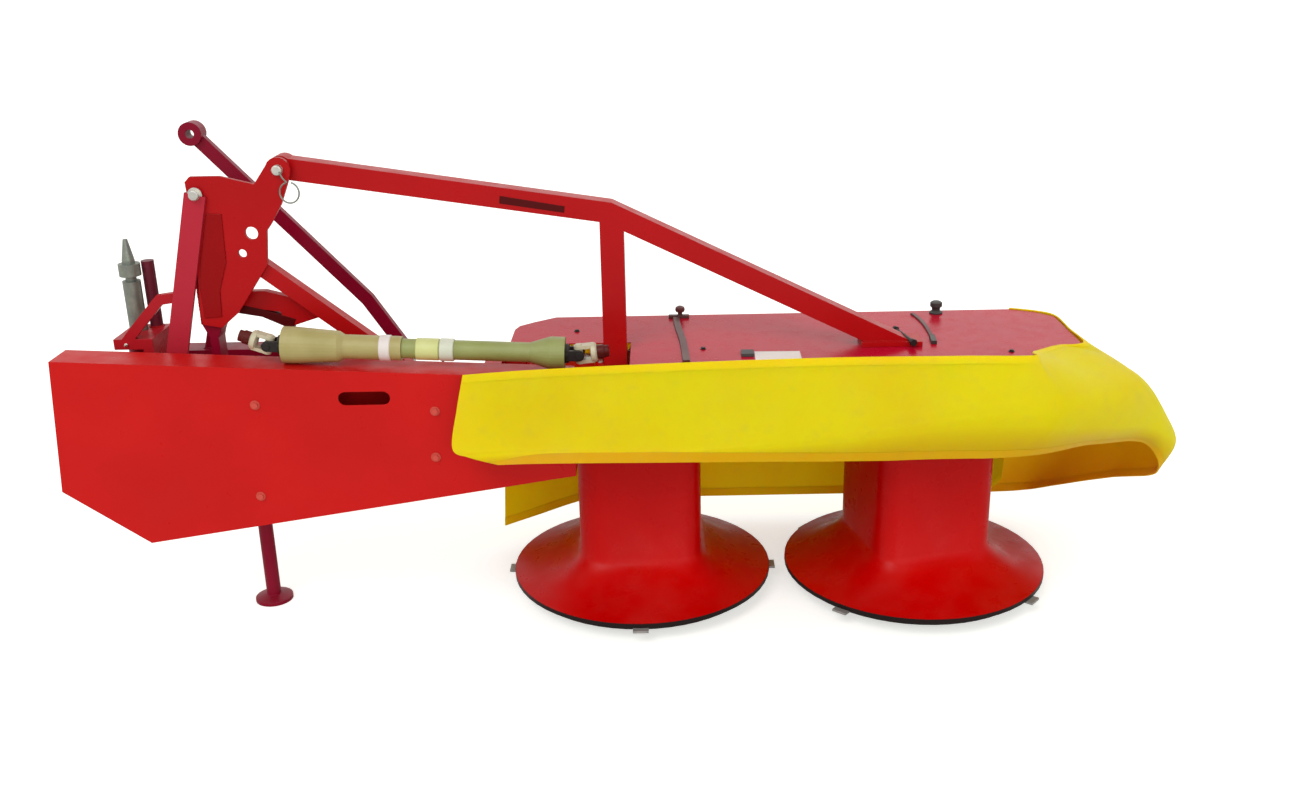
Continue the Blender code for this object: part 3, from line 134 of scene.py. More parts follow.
# Stations of the rear and end skirt, from the left end round to the front: top, upper, crease, lower and hem
GUARD_STATIONS = [
    [(-0.455, -0.3375, 0.7835), (-0.472, -0.366, 0.700), (-0.487, -0.395, 0.600), (-0.445, -0.409, 0.579),
     (-0.366, -0.420, 0.560)],
    [(-0.250, -0.3372, 0.795), (-0.255, -0.366, 0.705), (-0.260, -0.392, 0.605), (-0.245, -0.405, 0.585),
     (-0.235, -0.417, 0.561)],
    [(0.100, -0.3370, 0.8063), (0.100, -0.367, 0.700), (0.100, -0.396, 0.600), (0.100, -0.407, 0.580),
     (0.100, -0.410, 0.556)],
    [(0.500, -0.3370, 0.8135), (0.500, -0.368, 0.720), (0.500, -0.398, 0.650), (0.500, -0.410, 0.605),
     (0.502, -0.398, 0.548)],
    [(0.850, -0.3370, 0.812), (0.855, -0.370, 0.742), (0.860, -0.402, 0.690), (0.850, -0.412, 0.640),
     (0.848, -0.380, 0.540)],
    [(1.043, -0.3365, 0.809), (1.052, -0.372, 0.760), (1.070, -0.404, 0.708), (1.045, -0.412, 0.645),
     (1.003, -0.368, 0.539)],
    [(1.066, -0.262, 0.795), (1.100, -0.325, 0.765), (1.150, -0.388, 0.703), (1.122, -0.405, 0.636),
     (1.099, -0.345, 0.540)],
    [(1.108, -0.171, 0.770), (1.200, -0.235, 0.745), (1.300, -0.292, 0.688), (1.262, -0.328, 0.606),
     (1.251, -0.262, 0.530)],
    [(1.176, -0.1205, 0.768), (1.300, -0.152, 0.740), (1.405, -0.195, 0.673), (1.420, -0.212, 0.560),
     (1.437, -0.150, 0.483)],
    [(1.257, -0.090, 0.766), (1.385, -0.095, 0.690), (1.478, -0.098, 0.585), (1.545, -0.100, 0.470),
     (1.500, -0.100, 0.371)],
    [(1.2575, 0.050, 0.766), (1.360, 0.060, 0.670), (1.450, 0.070, 0.570), (1.515, 0.080, 0.450),
     (1.430, 0.080, 0.280)],
    [(1.2575, 0.190, 0.764), (1.340, 0.200, 0.660), (1.410, 0.215, 0.550), (1.440, 0.225, 0.400),
     (1.330, 0.225, 0.196)],
    [(1.215, 0.243, 0.764), (1.270, 0.310, 0.650), (1.310, 0.370, 0.530), (1.320, 0.390, 0.320),
     (1.270, 0.380, 0.110)],
    [(1.142, 0.2795, 0.764), (1.155, 0.350, 0.665), (1.160, 0.430, 0.550), (1.165, 0.436, 0.300),
     (1.150, 0.436, 0.080)],
]

# Stations of the front skirt, from the left end to the right one, which runs on behind the end skirt
FRONT_FALL = [(0.279, 0.757), (0.358, 0.660), (0.434, 0.560), (0.436, 0.320), (0.436, 0.083)]
FRONT_STATIONS = [
    [(-0.359, 0.190, 0.757), (-0.385, 0.200, 0.660), (-0.405, 0.208, 0.560), (-0.430, 0.218, 0.320),
     (-0.445, 0.225, 0.083)],
    [(-0.317, 0.2305, 0.757), (-0.330, 0.270, 0.660), (-0.337, 0.298, 0.560), (-0.339, 0.306, 0.320),
     (-0.340, 0.310, 0.083)],
    [(-0.254, 0.279, 0.757), (-0.244, 0.335, 0.660), (-0.237, 0.388, 0.560), (-0.236, 0.393, 0.320),
     (-0.235, 0.396, 0.083)],
    *[[(x, y, z) for y, z in FRONT_FALL] for x in (-0.150, 0.150, 0.600, 1.050)],
    [(1.140, 0.274, 0.757), (1.141, 0.336, 0.660), (1.142, 0.422, 0.545), (1.142, 0.4285, 0.320),
     (1.142, 0.4285, 0.083)],
    [(1.185, 0.252, 0.757), (1.190, 0.320, 0.660), (1.195, 0.395, 0.545), (1.200, 0.408, 0.340),
     (1.195, 0.404, 0.140)],
]

# Colours of what settles on or shows through a finish, and of painted shade in the cloth's folds, on the
# drums' rim and on the knives
PRIMER = (0.62, 0.22, 0.18)
PAINT_SOIL = (0.42, 0.34, 0.26)
PLASTIC_SOIL = (0.40, 0.36, 0.28)
CLOTH_SOIL = (0.48, 0.40, 0.24)
CLOTH_RUB = (0.50, 0.40, 0.10)
FOLD_SHADE_COLOUR = (0.62, 0.30, 0.001)
RIM_SHADE = (0.016, 0.010, 0.010)
KNIFE_SHADE = (0.014, 0.012, 0.012)
UPRIGHT_RED = (0.150, 0.018, 0.034)


# Shader helpers

def node(tree, kind, **values):
    """Add a node with its settings."""
    made = tree.nodes.new(kind)
    for name, value in values.items():
        setattr(made, name, value)
    return made


def shader_group(name, inputs, outputs):
    """Start a shader group with named sockets."""
    tree = bpy.data.node_groups.new(name, "ShaderNodeTree")
    for label, kind, value in inputs:
        socket = tree.interface.new_socket(label, in_out="INPUT", socket_type=kind)
        socket.default_value = value
    for label, kind in outputs:
        tree.interface.new_socket(label, in_out="OUTPUT", socket_type=kind)
    return tree, tree.nodes.new("NodeGroupInput"), tree.nodes.new("NodeGroupOutput")


def mix_colour(tree, factor, first, second):
    """Mix two colours; each of the three is a socket or a value."""
    mix = tree.nodes.new("ShaderNodeMix")
    mix.data_type = "RGBA"
    for index, value in ((0, factor), (6, first), (7, second)):
        if isinstance(value, bpy.types.NodeSocket):
            tree.links.new(value, mix.inputs[index])
        else:
            mix.inputs[index].default_value = value
    return mix.outputs[2]


def ramp(tree, value, low, high, out_low=0.0, out_high=1.0):
    """Map a value's range, clamped."""
    step = tree.nodes.new("ShaderNodeMapRange")
    tree.links.new(value, step.inputs[0])
    for index, number in enumerate((low, high, out_low, out_high)):
        step.inputs[index + 1].default_value = number
    return step.outputs[0]


def times(tree, first, second):
    """Multiply two values."""
    step = tree.nodes.new("ShaderNodeMath")
    step.operation = "MULTIPLY"
    for index, value in enumerate((first, second)):
        if isinstance(value, bpy.types.NodeSocket):
            tree.links.new(value, step.inputs[index])
        else:
            step.inputs[index].default_value = value
    return step.outputs[0]


def noise_value(tree, place, scale, detail):
    """Noise on the piece's own coordinates."""
    step = tree.nodes.new("ShaderNodeTexNoise")
    step.inputs["Scale"].default_value = scale
    step.inputs["Detail"].default_value = detail
    tree.links.new(place, step.inputs["Vector"])
    return step.outputs["Fac"]


def object_place(tree):
    """The piece's own coordinates."""
    return tree.nodes.new("ShaderNodeTexCoord").outputs["Object"]


def make_edge_group():
    """Rounded edges: the softened normal, and a mask of the edges it softens."""
    tree, start, end = shader_group(
        "rounded_edges", [("Radius", "NodeSocketFloat", 0.002)],
        [("Normal", "NodeSocketVector"), ("Edge", "NodeSocketFloat")])
    soft = node(tree, "ShaderNodeBevel", samples=4)
    tree.links.new(start.outputs["Radius"], soft.inputs["Radius"])
    plain = tree.nodes.new("ShaderNodeNewGeometry")
    dot = node(tree, "ShaderNodeVectorMath", operation="DOT_PRODUCT")
    tree.links.new(soft.outputs["Normal"], dot.inputs[0])
    tree.links.new(plain.outputs["Normal"], dot.inputs[1])
    tree.links.new(soft.outputs["Normal"], end.inputs["Normal"])
    tree.links.new(ramp(tree, dot.outputs["Value"], 0.995, 0.86), end.inputs["Edge"])
    return tree


def make_dust_group():
    """Dust and scuffs: a mask that is strongest on faces that look up and low down."""
    tree, start, end = shader_group(
        "settled_dust", [("Amount", "NodeSocketFloat", 0.3)], [("Mask", "NodeSocketFloat")])
    place = object_place(tree)
    form = tree.nodes.new("ShaderNodeNewGeometry")
    split = tree.nodes.new("ShaderNodeSeparateXYZ")
    tree.links.new(form.outputs["Normal"], split.inputs[0])
    up = ramp(tree, split.outputs["Z"], 0.0, 1.0, 0.15, 1.0)
    height = tree.nodes.new("ShaderNodeSeparateXYZ")
    tree.links.new(place, height.inputs[0])
    low = ramp(tree, height.outputs["Z"], 0.9, 0.0, 0.35, 1.0)
    cloud = ramp(tree, noise_value(tree, place, 9.0, 6.0), 0.42, 0.72)
    mask = times(tree, times(tree, up, low), times(tree, cloud, start.outputs["Amount"]))
    tree.links.new(mask, end.inputs["Mask"])
    return tree


def make_ripple_group():
    """Height of fine orange peel over a slow waviness."""
    tree, start, end = shader_group(
        "paint_ripple", [("Fine", "NodeSocketFloat", 420.0), ("Slow", "NodeSocketFloat", 7.0)],
        [("Height", "NodeSocketFloat")])
    place = object_place(tree)
    heights = []
    for label, share in (("Fine", 0.012), ("Slow", 1.0)):
        step = tree.nodes.new("ShaderNodeTexNoise")
        step.inputs["Detail"].default_value = 2.0
        tree.links.new(place, step.inputs["Vector"])
        tree.links.new(start.outputs[label], step.inputs["Scale"])
        heights.append(times(tree, step.outputs["Fac"], share))
    total = node(tree, "ShaderNodeMath", operation="ADD")
    for index, height in enumerate(heights):
        tree.links.new(height, total.inputs[index])
    tree.links.new(total.outputs[0], end.inputs["Height"])
    return tree


def make_weave_group():
    """Plain weave of a coated cloth on the piece's UV map, in metres."""
    tree, start, end = shader_group(
        "coated_weave", [("Thread", "NodeSocketFloat", 0.0012)], [("Height", "NodeSocketFloat")])
    split = tree.nodes.new("ShaderNodeSeparateXYZ")
    tree.links.new(tree.nodes.new("ShaderNodeUVMap").outputs["UV"], split.inputs[0])
    waves = []
    for axis in ("X", "Y"):
        step = node(tree, "ShaderNodeMath", operation="DIVIDE")
        tree.links.new(split.outputs[axis], step.inputs[0])
        tree.links.new(start.outputs["Thread"], step.inputs[1])
        wave = node(tree, "ShaderNodeMath", operation="SINE")
        tree.links.new(times(tree, step.outputs[0], math.pi), wave.inputs[0])
        waves.append(wave.outputs[0])
    tree.links.new(times(tree, *waves), end.inputs["Height"])
    return tree


GROUPS = {}


def group_node(tree, name):
    """Place one of the shared groups."""
    step = tree.nodes.new("ShaderNodeGroup")
    step.node_tree = GROUPS[name]
    return step


def start_material(name, roughness, **constants):
    """A material with its principled shader."""
    material = bpy.data.materials.new(name)
    material.use_nodes = True
    shader = material.node_tree.nodes["Principled BSDF"]
    shader.inputs["Roughness"].default_value = roughness
    for label, value in constants.items():
        shader.inputs[label.replace("_", " ")].default_value = value
    return material, material.node_tree, shader


def add_relief(tree, shader, height, distance, strength=1.0, radius=None):
    """Bump from a height, over rounded edges where a radius is given; returns the edges' mask."""
    bump = tree.nodes.new("ShaderNodeBump")
    bump.inputs["Distance"].default_value = distance
    bump.inputs["Strength"].default_value = strength
    tree.links.new(height, bump.inputs["Height"])
    tree.links.new(bump.outputs["Normal"], shader.inputs["Normal"])
    if radius is None:
        return None
    edges = group_node(tree, "edges")
    edges.inputs["Radius"].default_value = radius
    tree.links.new(edges.outputs["Normal"], bump.inputs["Normal"])
    return edges.outputs["Edge"]


def cloudy(tree, place, scale, detail, ends, first, second):
    """Two colours mixed by soft clouds; ends are the noise values at which each is pure."""
    cloud = ramp(tree, noise_value(tree, place, scale, detail), *ends)
    return mix_colour(tree, cloud, (*first, 1.0), (*second, 1.0))


def dusted(tree, tone, amount, soil):
    """Lay settled dust over a colour."""
    settled = group_node(tree, "dust")
    settled.inputs["Amount"].default_value = amount
    return mix_colour(tree, settled.outputs["Mask"], tone, (*soil, 1.0))


def uneven_gloss(tree, shader, place, scale, detail, least, most):
    """Roughness that wanders between two values."""
    gloss = ramp(tree, noise_value(tree, place, scale, detail), 0.3, 0.7, least, most)
    tree.links.new(gloss, shader.inputs["Roughness"])


def paint(name, colour, worn, dust, roughness=0.32, gloss_level=0.15, waviness=0.0005, rounding=0.0022):
    """Sprayed paint: faintly cloudy tone, orange peel, paler edges and settled dust."""
    material, tree, shader = start_material(name, roughness, Specular_IOR_Level=gloss_level)
    place = object_place(tree)
    deeper = [part * 0.94 for part in colour]
    paler = [min(part * 1.05, 1.0) for part in colour]
    tone = cloudy(tree, place, 3.1, 5.0, (0.36, 0.66), deeper, paler)
    ripple = group_node(tree, "ripple")
    edge = add_relief(tree, shader, ripple.outputs["Height"], waviness, 1.0, rounding)
    chips = ramp(tree, noise_value(tree, place, 74.0, 6.0), 0.54, 0.66)
    tone = mix_colour(tree, times(tree, times(tree, edge, chips), worn), tone, (*PRIMER, 1.0))
    tree.links.new(dusted(tree, tone, dust, PAINT_SOIL), shader.inputs["Base Color"])
    uneven_gloss(tree, shader, place, 21.0, 4.0, roughness * 0.8, roughness * 1.3)
    return material


def banded(material, mask, colour):
    """Lay a second colour over a finish where a mask, made from the piece's own coordinates, says so."""
    tree = material.node_tree
    shader = tree.nodes["Principled BSDF"]
    tone = shader.inputs["Base Color"].links[0].from_socket
    tree.links.new(mix_colour(tree, mask, tone, (*colour, 1.0)), shader.inputs["Base Color"])


def height_mask(material, low, high):
    """A mask that is 1 below low and 0 above high."""
    tree = material.node_tree
    split = tree.nodes.new("ShaderNodeSeparateXYZ")
    tree.links.new(object_place(tree), split.inputs[0])
    return ramp(tree, split.outputs["Z"], high, low)


def radius_mask(material, x, y, low, high):
    """A mask that is 1 within the low radius round an upright axis and 0 outside the high one."""
    tree = material.node_tree
    offset = node(tree, "ShaderNodeVectorMath", operation="SUBTRACT")
    offset.inputs[1].default_value = (x, y, 0.0)
    tree.links.new(object_place(tree), offset.inputs[0])
    flat = node(tree, "ShaderNodeVectorMath", operation="MULTIPLY")
    flat.inputs[1].default_value = (1.0, 1.0, 0.0)
    tree.links.new(offset.outputs[0], flat.inputs[0])
    length = node(tree, "ShaderNodeVectorMath", operation="LENGTH")
    tree.links.new(flat.outputs[0], length.inputs[0])
    return ramp(tree, length.outputs["Value"], high, low)


def plating(name, colour, tint, roughness=0.34, metallic=1.0):
    """Zinc plating: a cloudy grey with a faint tint, and fine drawing marks."""
    material, tree, shader = start_material(name, roughness, Metallic=metallic)
    place = object_place(tree)
    tone = cloudy(tree, place, 34.0, 5.0, (0.35, 0.65), colour, tint)
    tree.links.new(tone, shader.inputs["Base Color"])
    uneven_gloss(tree, shader, place, 120.0, 3.0, roughness * 0.75, roughness * 1.35)
    add_relief(tree, shader, noise_value(tree, place, 260.0, 2.0), 0.0003, 0.5, 0.0012)
    return material


def plastic(name, colour, fleck, roughness=0.42):
    """Moulded plastic with a fine grain and sun-bleached patches."""
    material, tree, shader = start_material(name, roughness)
    place = object_place(tree)
    tone = cloudy(tree, place, 12.0, 5.0, (0.35, 0.68), colour, fleck)
    tree.links.new(dusted(tree, tone, 0.35, PLASTIC_SOIL), shader.inputs["Base Color"])
    add_relief(tree, shader, noise_value(tree, place, 700.0, 2.0), 0.0003, 0.6, 0.0015)
    return material


def cloth(name, colour, shade, roughness=0.48):
    """Coated cloth: fine weave, soft sheen, rubbed patches, and painted shade, a deeper orange, where it is
    tucked in.
    """
    material, tree, shader = start_material(
        name, roughness, Sheen_Weight=0.03, Sheen_Roughness=0.5, Specular_IOR_Level=0.10,
        Subsurface_Weight=0.70, Subsurface_Scale=0.014, Subsurface_Radius=(1.0, 0.50, 0.05))
    place = object_place(tree)
    tone = cloudy(tree, place, 2.6, 5.0, (0.38, 0.70), colour, shade)
    # Painted shade: a deeper orange where the cloth turns under between its crease and its hem
    painted_fold_shade = node(tree, "ShaderNodeAttribute", attribute_name="painted_fold_shade")
    tone = mix_colour(tree, ramp(tree, painted_fold_shade.outputs["Fac"], 0.05, 0.75, 0.0, 0.70), tone, (*FOLD_SHADE_COLOUR, 1.0))
    rub = ramp(tree, noise_value(tree, place, 26.0, 7.0), 0.55, 0.78, 0.0, 0.10)
    tone = mix_colour(tree, rub, tone, (*CLOTH_RUB, 1.0))
    tree.links.new(dusted(tree, tone, 0.12, CLOTH_SOIL), shader.inputs["Base Color"])
    weave = group_node(tree, "weave")
    add_relief(tree, shader, weave.outputs["Height"], 0.00022, 0.7)
    uneven_gloss(tree, shader, place, 14.0, 4.0, roughness * 0.85, roughness * 1.2)
    return material


# Finishes

GROUPS["edges"] = make_edge_group()
GROUPS["dust"] = make_dust_group()
GROUPS["ripple"] = make_ripple_group()
GROUPS["weave"] = make_weave_group()

red = paint("frame_red", (0.460, 0.004, 0.006), 0.30, 0.05)
sheet_red = paint("sheet_red", (0.590, 0.007, 0.006), 0.22, 0.04, 0.34, waviness=0.0006)
deck_red = paint("deck_red", (0.500, 0.002, 0.024), 0.25, 0.04, 0.24, 0.10, 0.0006)
drum_red = paint("drum_red", (0.570, 0.000, 0.000), 0.02, 0.03, 0.30, 0.13, rounding=0.0003)
# A darker copy of the frame's red: painted shade for the struts, beams, stand and column that sit in shadow
shade_red = paint("painted_shade_red", (0.245, 0.002, 0.022), 0.30, 0.05)
stay_red = paint("stay_red", (0.490, 0.022, 0.042), 0.30, 0.05)
# Dark red painted as shade on the strip beside the stay, where the mast's flank lies in shadow
mast_shade_red = paint("mast_painted_shade", (0.310, 0.000, 0.001), 0.20, 0.05)
# Near-black red: painted shade for the strip under the gusset, and the colour of the arm's blank plate
shade_and_plate_black = paint("shade_and_plate_black", (0.085, 0.000, 0.001), 0.10, 0.05)
yoke_red = paint("yoke_red", (0.460, 0.012, 0.020), 0.30, 0.05)
# Pale pink on the cover's bolts: the red cover's reflection in their zinc, painted into the colour
bolt_pink_reflection = paint("bolt_pink_reflection", (0.640, 0.085, 0.062), 0.50, 0.05)
dark_red = paint("joint_red", (0.095, 0.006, 0.005), 0.15, 0.20)
dark = paint("dish_dark", (0.020, 0.017, 0.017), 0.15, 0.40, 0.45)
zinc = plating("bright_zinc", (0.56, 0.56, 0.54), (0.66, 0.64, 0.56))
pin_grey = plating("pin_grey", (0.20, 0.22, 0.19), (0.27, 0.29, 0.24), 0.45, 0.6)
olive = plastic("olive_guard", (0.370, 0.310, 0.100), (0.44, 0.37, 0.14))
green = plastic("green_guard", (0.250, 0.275, 0.070), (0.30, 0.33, 0.10))
white_plastic = plastic("white_ring", (0.74, 0.66, 0.62), (0.80, 0.74, 0.70))
yellow_plastic = plastic("yellow_band", (0.58, 0.61, 0.20), (0.66, 0.68, 0.28))
pale_plastic = plastic("pale_band", (0.62, 0.64, 0.50), (0.70, 0.71, 0.58))
# Cream for the shaft's outer forks: a painted highlight on the universal joints
highlight_cream = plastic("painted_highlight_cream", (0.56, 0.50, 0.33), (0.64, 0.58, 0.42), 0.36)
rubber = plastic("black_rubber", (0.018, 0.017, 0.016), (0.035, 0.032, 0.030), 0.55)
maroon = plastic("strap_rubber", (0.075, 0.012, 0.012), (0.105, 0.020, 0.018), 0.50)
plate_white = plastic("blank_plate", (0.80, 0.72, 0.66), (0.86, 0.80, 0.74), 0.35)
yellow = cloth("yellow_cloth", (0.980, 0.680, 0.001), (0.950, 0.590, 0.001))

SLOT_FINISH = {
    "red_paint": red, "drum_paint": drum_red, "zinc_steel": zinc, "dark_steel": dark,
    "yellow_fabric": yellow, "olive_plastic": olive, "green_plastic": green,
}
NODE_FINISH = {
    "belt_cover": sheet_red, "belt_back_plate": sheet_red, "deck": deck_red, "mast_stay": stay_red,
    "pivot_yoke": yoke_red, "pivot_pin": pin_grey,
}
# These members take the painted shade red
for name in ("top_strut", "hitch_post", "hitch_beam", "stand", "stand_sleeve", "mast_column"):
    NODE_FINISH[name] = shade_red

# Painted shade, near-black, along the foot of the drums' rim and on the knives inside their tips; and the
# yoke's deeper upright
banded(drum_red, height_mask(drum_red, RIM_LINE - 0.0004, RIM_LINE + 0.0006), RIM_SHADE)
for side, centre in (("left", 0.0), ("right", DRUM_SPACING)):
    knife = plating("knife_" + side, (0.30, 0.30, 0.29), (0.38, 0.37, 0.35), 0.40, 0.35)
    # The knives' inner part, under the disc, takes painted shade; only their tips keep the plating
    banded(knife, radius_mask(knife, centre, 0.0, 0.373, 0.381), KNIFE_SHADE)
    NODE_FINISH["knives_" + side] = knife
upright = times(yoke_red.node_tree, radius_mask(yoke_red, *UPRIGHT, 0.0190, 0.0195),
                height_mask(yoke_red, 0.834, 0.830))
banded(yoke_red, upright, UPRIGHT_RED)

for row in frame["record"]["subparts"]:
    item = frame["nodes"][row["node"]]
    coat = NODE_FINISH.get(row["node"], SLOT_FINISH[row["material_slot"]])
    if not item.data.materials:
        item.data.materials.append(coat)
    for place in item.material_slots:
        place.material = coat


# Mesh helpers: each shape is a pair of points and faces

def add_piece(name, shape, material, body, smooth=35.0):
    """Make a piece from a shape, in the given finish, with edges sharper than the angle left hard."""
    points, faces = shape
    mesh = bpy.data.meshes.new(name)
    mesh.from_pydata([tuple(point) for point in points], [], faces)
    form = bmesh.new()
    form.from_mesh(mesh)
    bmesh.ops.recalc_face_normals(form, faces=form.faces)
    form.to_mesh(mesh)
    form.free()
    mesh.materials.append(material)
    mesh.shade_smooth()
    mesh.set_sharp_from_angle(angle=math.radians(smooth))
    piece = bpy.data.objects.new(name, mesh)
    bpy.context.scene.collection.objects.link(piece)
    return settle(piece, body)


def settle(piece, body):
    """Say what body a piece rides on."""
    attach(piece, body)
    return piece


def turned(profile, base, direction, steps=32):
    """A profile of (radius, distance) turned about an axis."""
    axis = Vector(direction).normalized()
    side = axis.orthogonal().normalized()
    across = axis.cross(side)
    points = []
    faces = []
    for radius, distance in profile:
        centre = Vector(base) + axis * distance
        for step in range(steps):
            angle = 2 * math.pi * step / steps
            points.append(centre + radius * (math.cos(angle) * side + math.sin(angle) * across))
    for level in range(len(profile) - 1):
        for step in range(steps):
            after = (step + 1) % steps
            a, b = level * steps, (level + 1) * steps
            faces.append((a + step, a + after, b + after, b + step))
    faces.append(tuple(range(steps)))
    faces.append(tuple(range(len(points) - steps, len(points))))
    return points, faces


def tube_along(path, radius, steps=10, closed=False):
    """A round wire along a path."""
    spots = [Vector(point) for point in path]
    count = len(spots)
    points = []
    normal = None
    for index, spot in enumerate(spots):
        ahead = spots[(index + 1) % count] if closed or index < count - 1 else spot
        behind = spots[index - 1] if closed or index else spot
        lead = (ahead - behind).normalized()
        side = lead.orthogonal() if normal is None else normal - lead * normal.dot(lead)
        normal = side.normalized()
        across = lead.cross(normal)
        for step in range(steps):
            angle = 2 * math.pi * step / steps
            points.append(spot + radius * (math.cos(angle) * normal + math.sin(angle) * across))
    faces = []
    for index in range(count if closed else count - 1):
        for step in range(steps):
            after = (step + 1) % steps
            a, b = index * steps, ((index + 1) % count) * steps
            faces.append((a + step, a + after, b + after, b + step))
    if not closed:
        faces.append(tuple(range(steps)))
        faces.append(tuple(range(len(points) - steps, len(points))))
    return points, faces


def gather(*shapes):
    """Put several shapes together."""
    points = []
    faces = []
    for more_points, more_faces in shapes:
        shift = len(points)
        points += more_points
        faces += [tuple(shift + index for index in face) for face in more_faces]
    return points, faces


def plate(outline, near, far, edge=0.0008):
    """An upright plate of (x, z) corners, its near rim drawn in by a fine edge."""
    middle = (sum(x for x, _ in outline) / len(outline), sum(z for _, z in outline) / len(outline))
    points = []
    for y, inset in ((far, 0.0), (near + edge, 0.0), (near, edge)):
        for x, z in outline:
            reach = math.hypot(x - middle[0], z - middle[1])
            shrink = 1 - inset / reach
            points.append((middle[0] + (x - middle[0]) * shrink, y, middle[1] + (z - middle[1]) * shrink))
    count = len(outline)
    faces = [tuple(range(count)), tuple(range(2 * count, 3 * count))]
    for level in (0, count):
        for index in range(count):
            after = (index + 1) % count
            faces.append((level + index, level + after, level + count + after, level + count + index))
    return points, faces


def lug(root, lead, face, width, length, thick, steps=10):
    """A flat lug with a round end; face is the direction of its thickness."""
    lead = Vector(lead).normalized()
    face = (Vector(face) - lead * lead.dot(Vector(face))).normalized()
    side = lead.cross(face)
    half = width / 2
    outline = [(0, -half)]
    for step in range(steps + 1):
        angle = math.pi * step / steps - math.pi / 2
        outline.append((length - half + half * math.cos(angle), half * math.sin(angle)))
    outline.append((0, half))
    points = []
    for level in (-thick / 2, thick / 2):
        points += [Vector(root) + lead * along + side * aside + face * level for along, aside in outline]
    count = len(outline)
    faces = [tuple(range(count)), tuple(range(count, 2 * count))]
    for index in range(count):
        after = (index + 1) % count
        faces.append((index, after, count + after, count + index))
    return points, faces


def fork_end(centre, lead, face, reach, radius):
    """One fork of a universal joint: hub, two lugs that point back to the joint, and its arm of the cross."""
    centre = Vector(centre)
    lead = Vector(lead).normalized()
    face = (Vector(face) - lead * lead.dot(Vector(face))).normalized()
    profile = [(radius * 0.62, 0), (radius * 0.98, 0.003), (radius * 0.98, 0.014), (radius * 0.80, 0.018)]
    shapes = [turned(profile, centre + lead * (reach - 0.006), lead, 24)]
    for hand in (-1, 1):
        root = centre + lead * (reach + 0.004) + face * hand * radius * 0.74
        shapes.append(lug(root, -lead, face, radius * 1.05, reach + 0.004 + radius * 0.5, radius * 0.36))
    arm = radius * 1.02
    shapes.append(turned([(radius * 0.36, 0), (radius * 0.36, 2 * arm)], centre - face * arm, face, 20))
    return gather(*shapes)


def ribbon(path, width, thick, rise):
    """A flat level band along a path of (x, y), its underside at rise."""
    spots = [Vector((x, y, rise)) for x, y in path]
    points = []
    for index, spot in enumerate(spots):
        ahead = spots[min(index + 1, len(spots) - 1)]
        behind = spots[max(index - 1, 0)]
        side = (ahead - behind).normalized().cross(Vector((0, 0, 1))) * width / 2
        for along, up in ((-1, 0), (1, 0), (1, 1), (-1, 1)):
            points.append(spot + side * along * (0.9 if up else 1.0) + Vector((0, 0, thick * up)))
    faces = []
    for index in range(len(spots) - 1):
        for corner in range(4):
            after = (corner + 1) % 4
            a, b = index * 4, (index + 1) * 4
            faces.append((a + corner, a + after, b + after, b + corner))
    faces += [(0, 1, 2, 3), tuple(range(len(points) - 4, len(points)))]
    return points, faces


def smooth_between(values, position):
    """Catmull-Rom through a list of vectors at a position counted in places."""
    last = len(values) - 1
    index = min(int(position), last - 1)
    share = position - index
    before = values[max(index - 1, 0)]
    start, stop = values[index], values[index + 1]
    after = values[min(index + 2, last)]
    first = (stop - before) / 2
    second = (after - start) / 2
    square, cube = share * share, share * share * share
    return (start * (2 * cube - 3 * square + 1) + first * (cube - 2 * square + share)
            + stop * (3 * square - 2 * cube) + second * (cube - square))


def smooth_path(path, steps):
    """More points on a smooth line through a path of (x, y)."""
    spots = [Vector((x, y, 0)) for x, y in path]
    last = len(spots) - 1
    return [tuple(smooth_between(spots, last * step / steps)[:2]) for step in range(steps + 1)]


# Geometry Nodes: bolts and weld beads

def repeat_tree(name, inputs):
    """Start a geometry tree with a mesh in, a mesh out and named sizes."""
    tree = bpy.data.node_groups.new(name, "GeometryNodeTree")
    tree.interface.new_socket("Geometry", in_out="INPUT", socket_type="NodeSocketGeometry")
    for label, kind, value in inputs:
        socket = tree.interface.new_socket(label, in_out="INPUT", socket_type=kind)
        socket.default_value = value
    tree.interface.new_socket("Geometry", in_out="OUTPUT", socket_type="NodeSocketGeometry")
    return tree, tree.nodes.new("NodeGroupInput"), tree.nodes.new("NodeGroupOutput")


def end_tree(tree, instances, end, material):
    """Realise the instances, set their material and hand them out."""
    real = tree.nodes.new("GeometryNodeRealizeInstances")
    finish = tree.nodes.new("GeometryNodeSetMaterial")
    finish.inputs["Material"].default_value = material
    tree.links.new(instances, real.inputs[0])
    tree.links.new(real.outputs[0], finish.inputs[0])
    tree.links.new(finish.outputs[0], end.inputs[0])


def lifted(tree, shape, rise):
    """Move a shape of the tree along Z."""
    move = tree.nodes.new("GeometryNodeTransform")
    tree.links.new(shape, move.inputs["Geometry"])
    combine = tree.nodes.new("ShaderNodeCombineXYZ")
    tree.links.new(rise, combine.inputs["Z"])
    tree.links.new(combine.outputs[0], move.inputs["Translation"])
    return move.outputs[0]


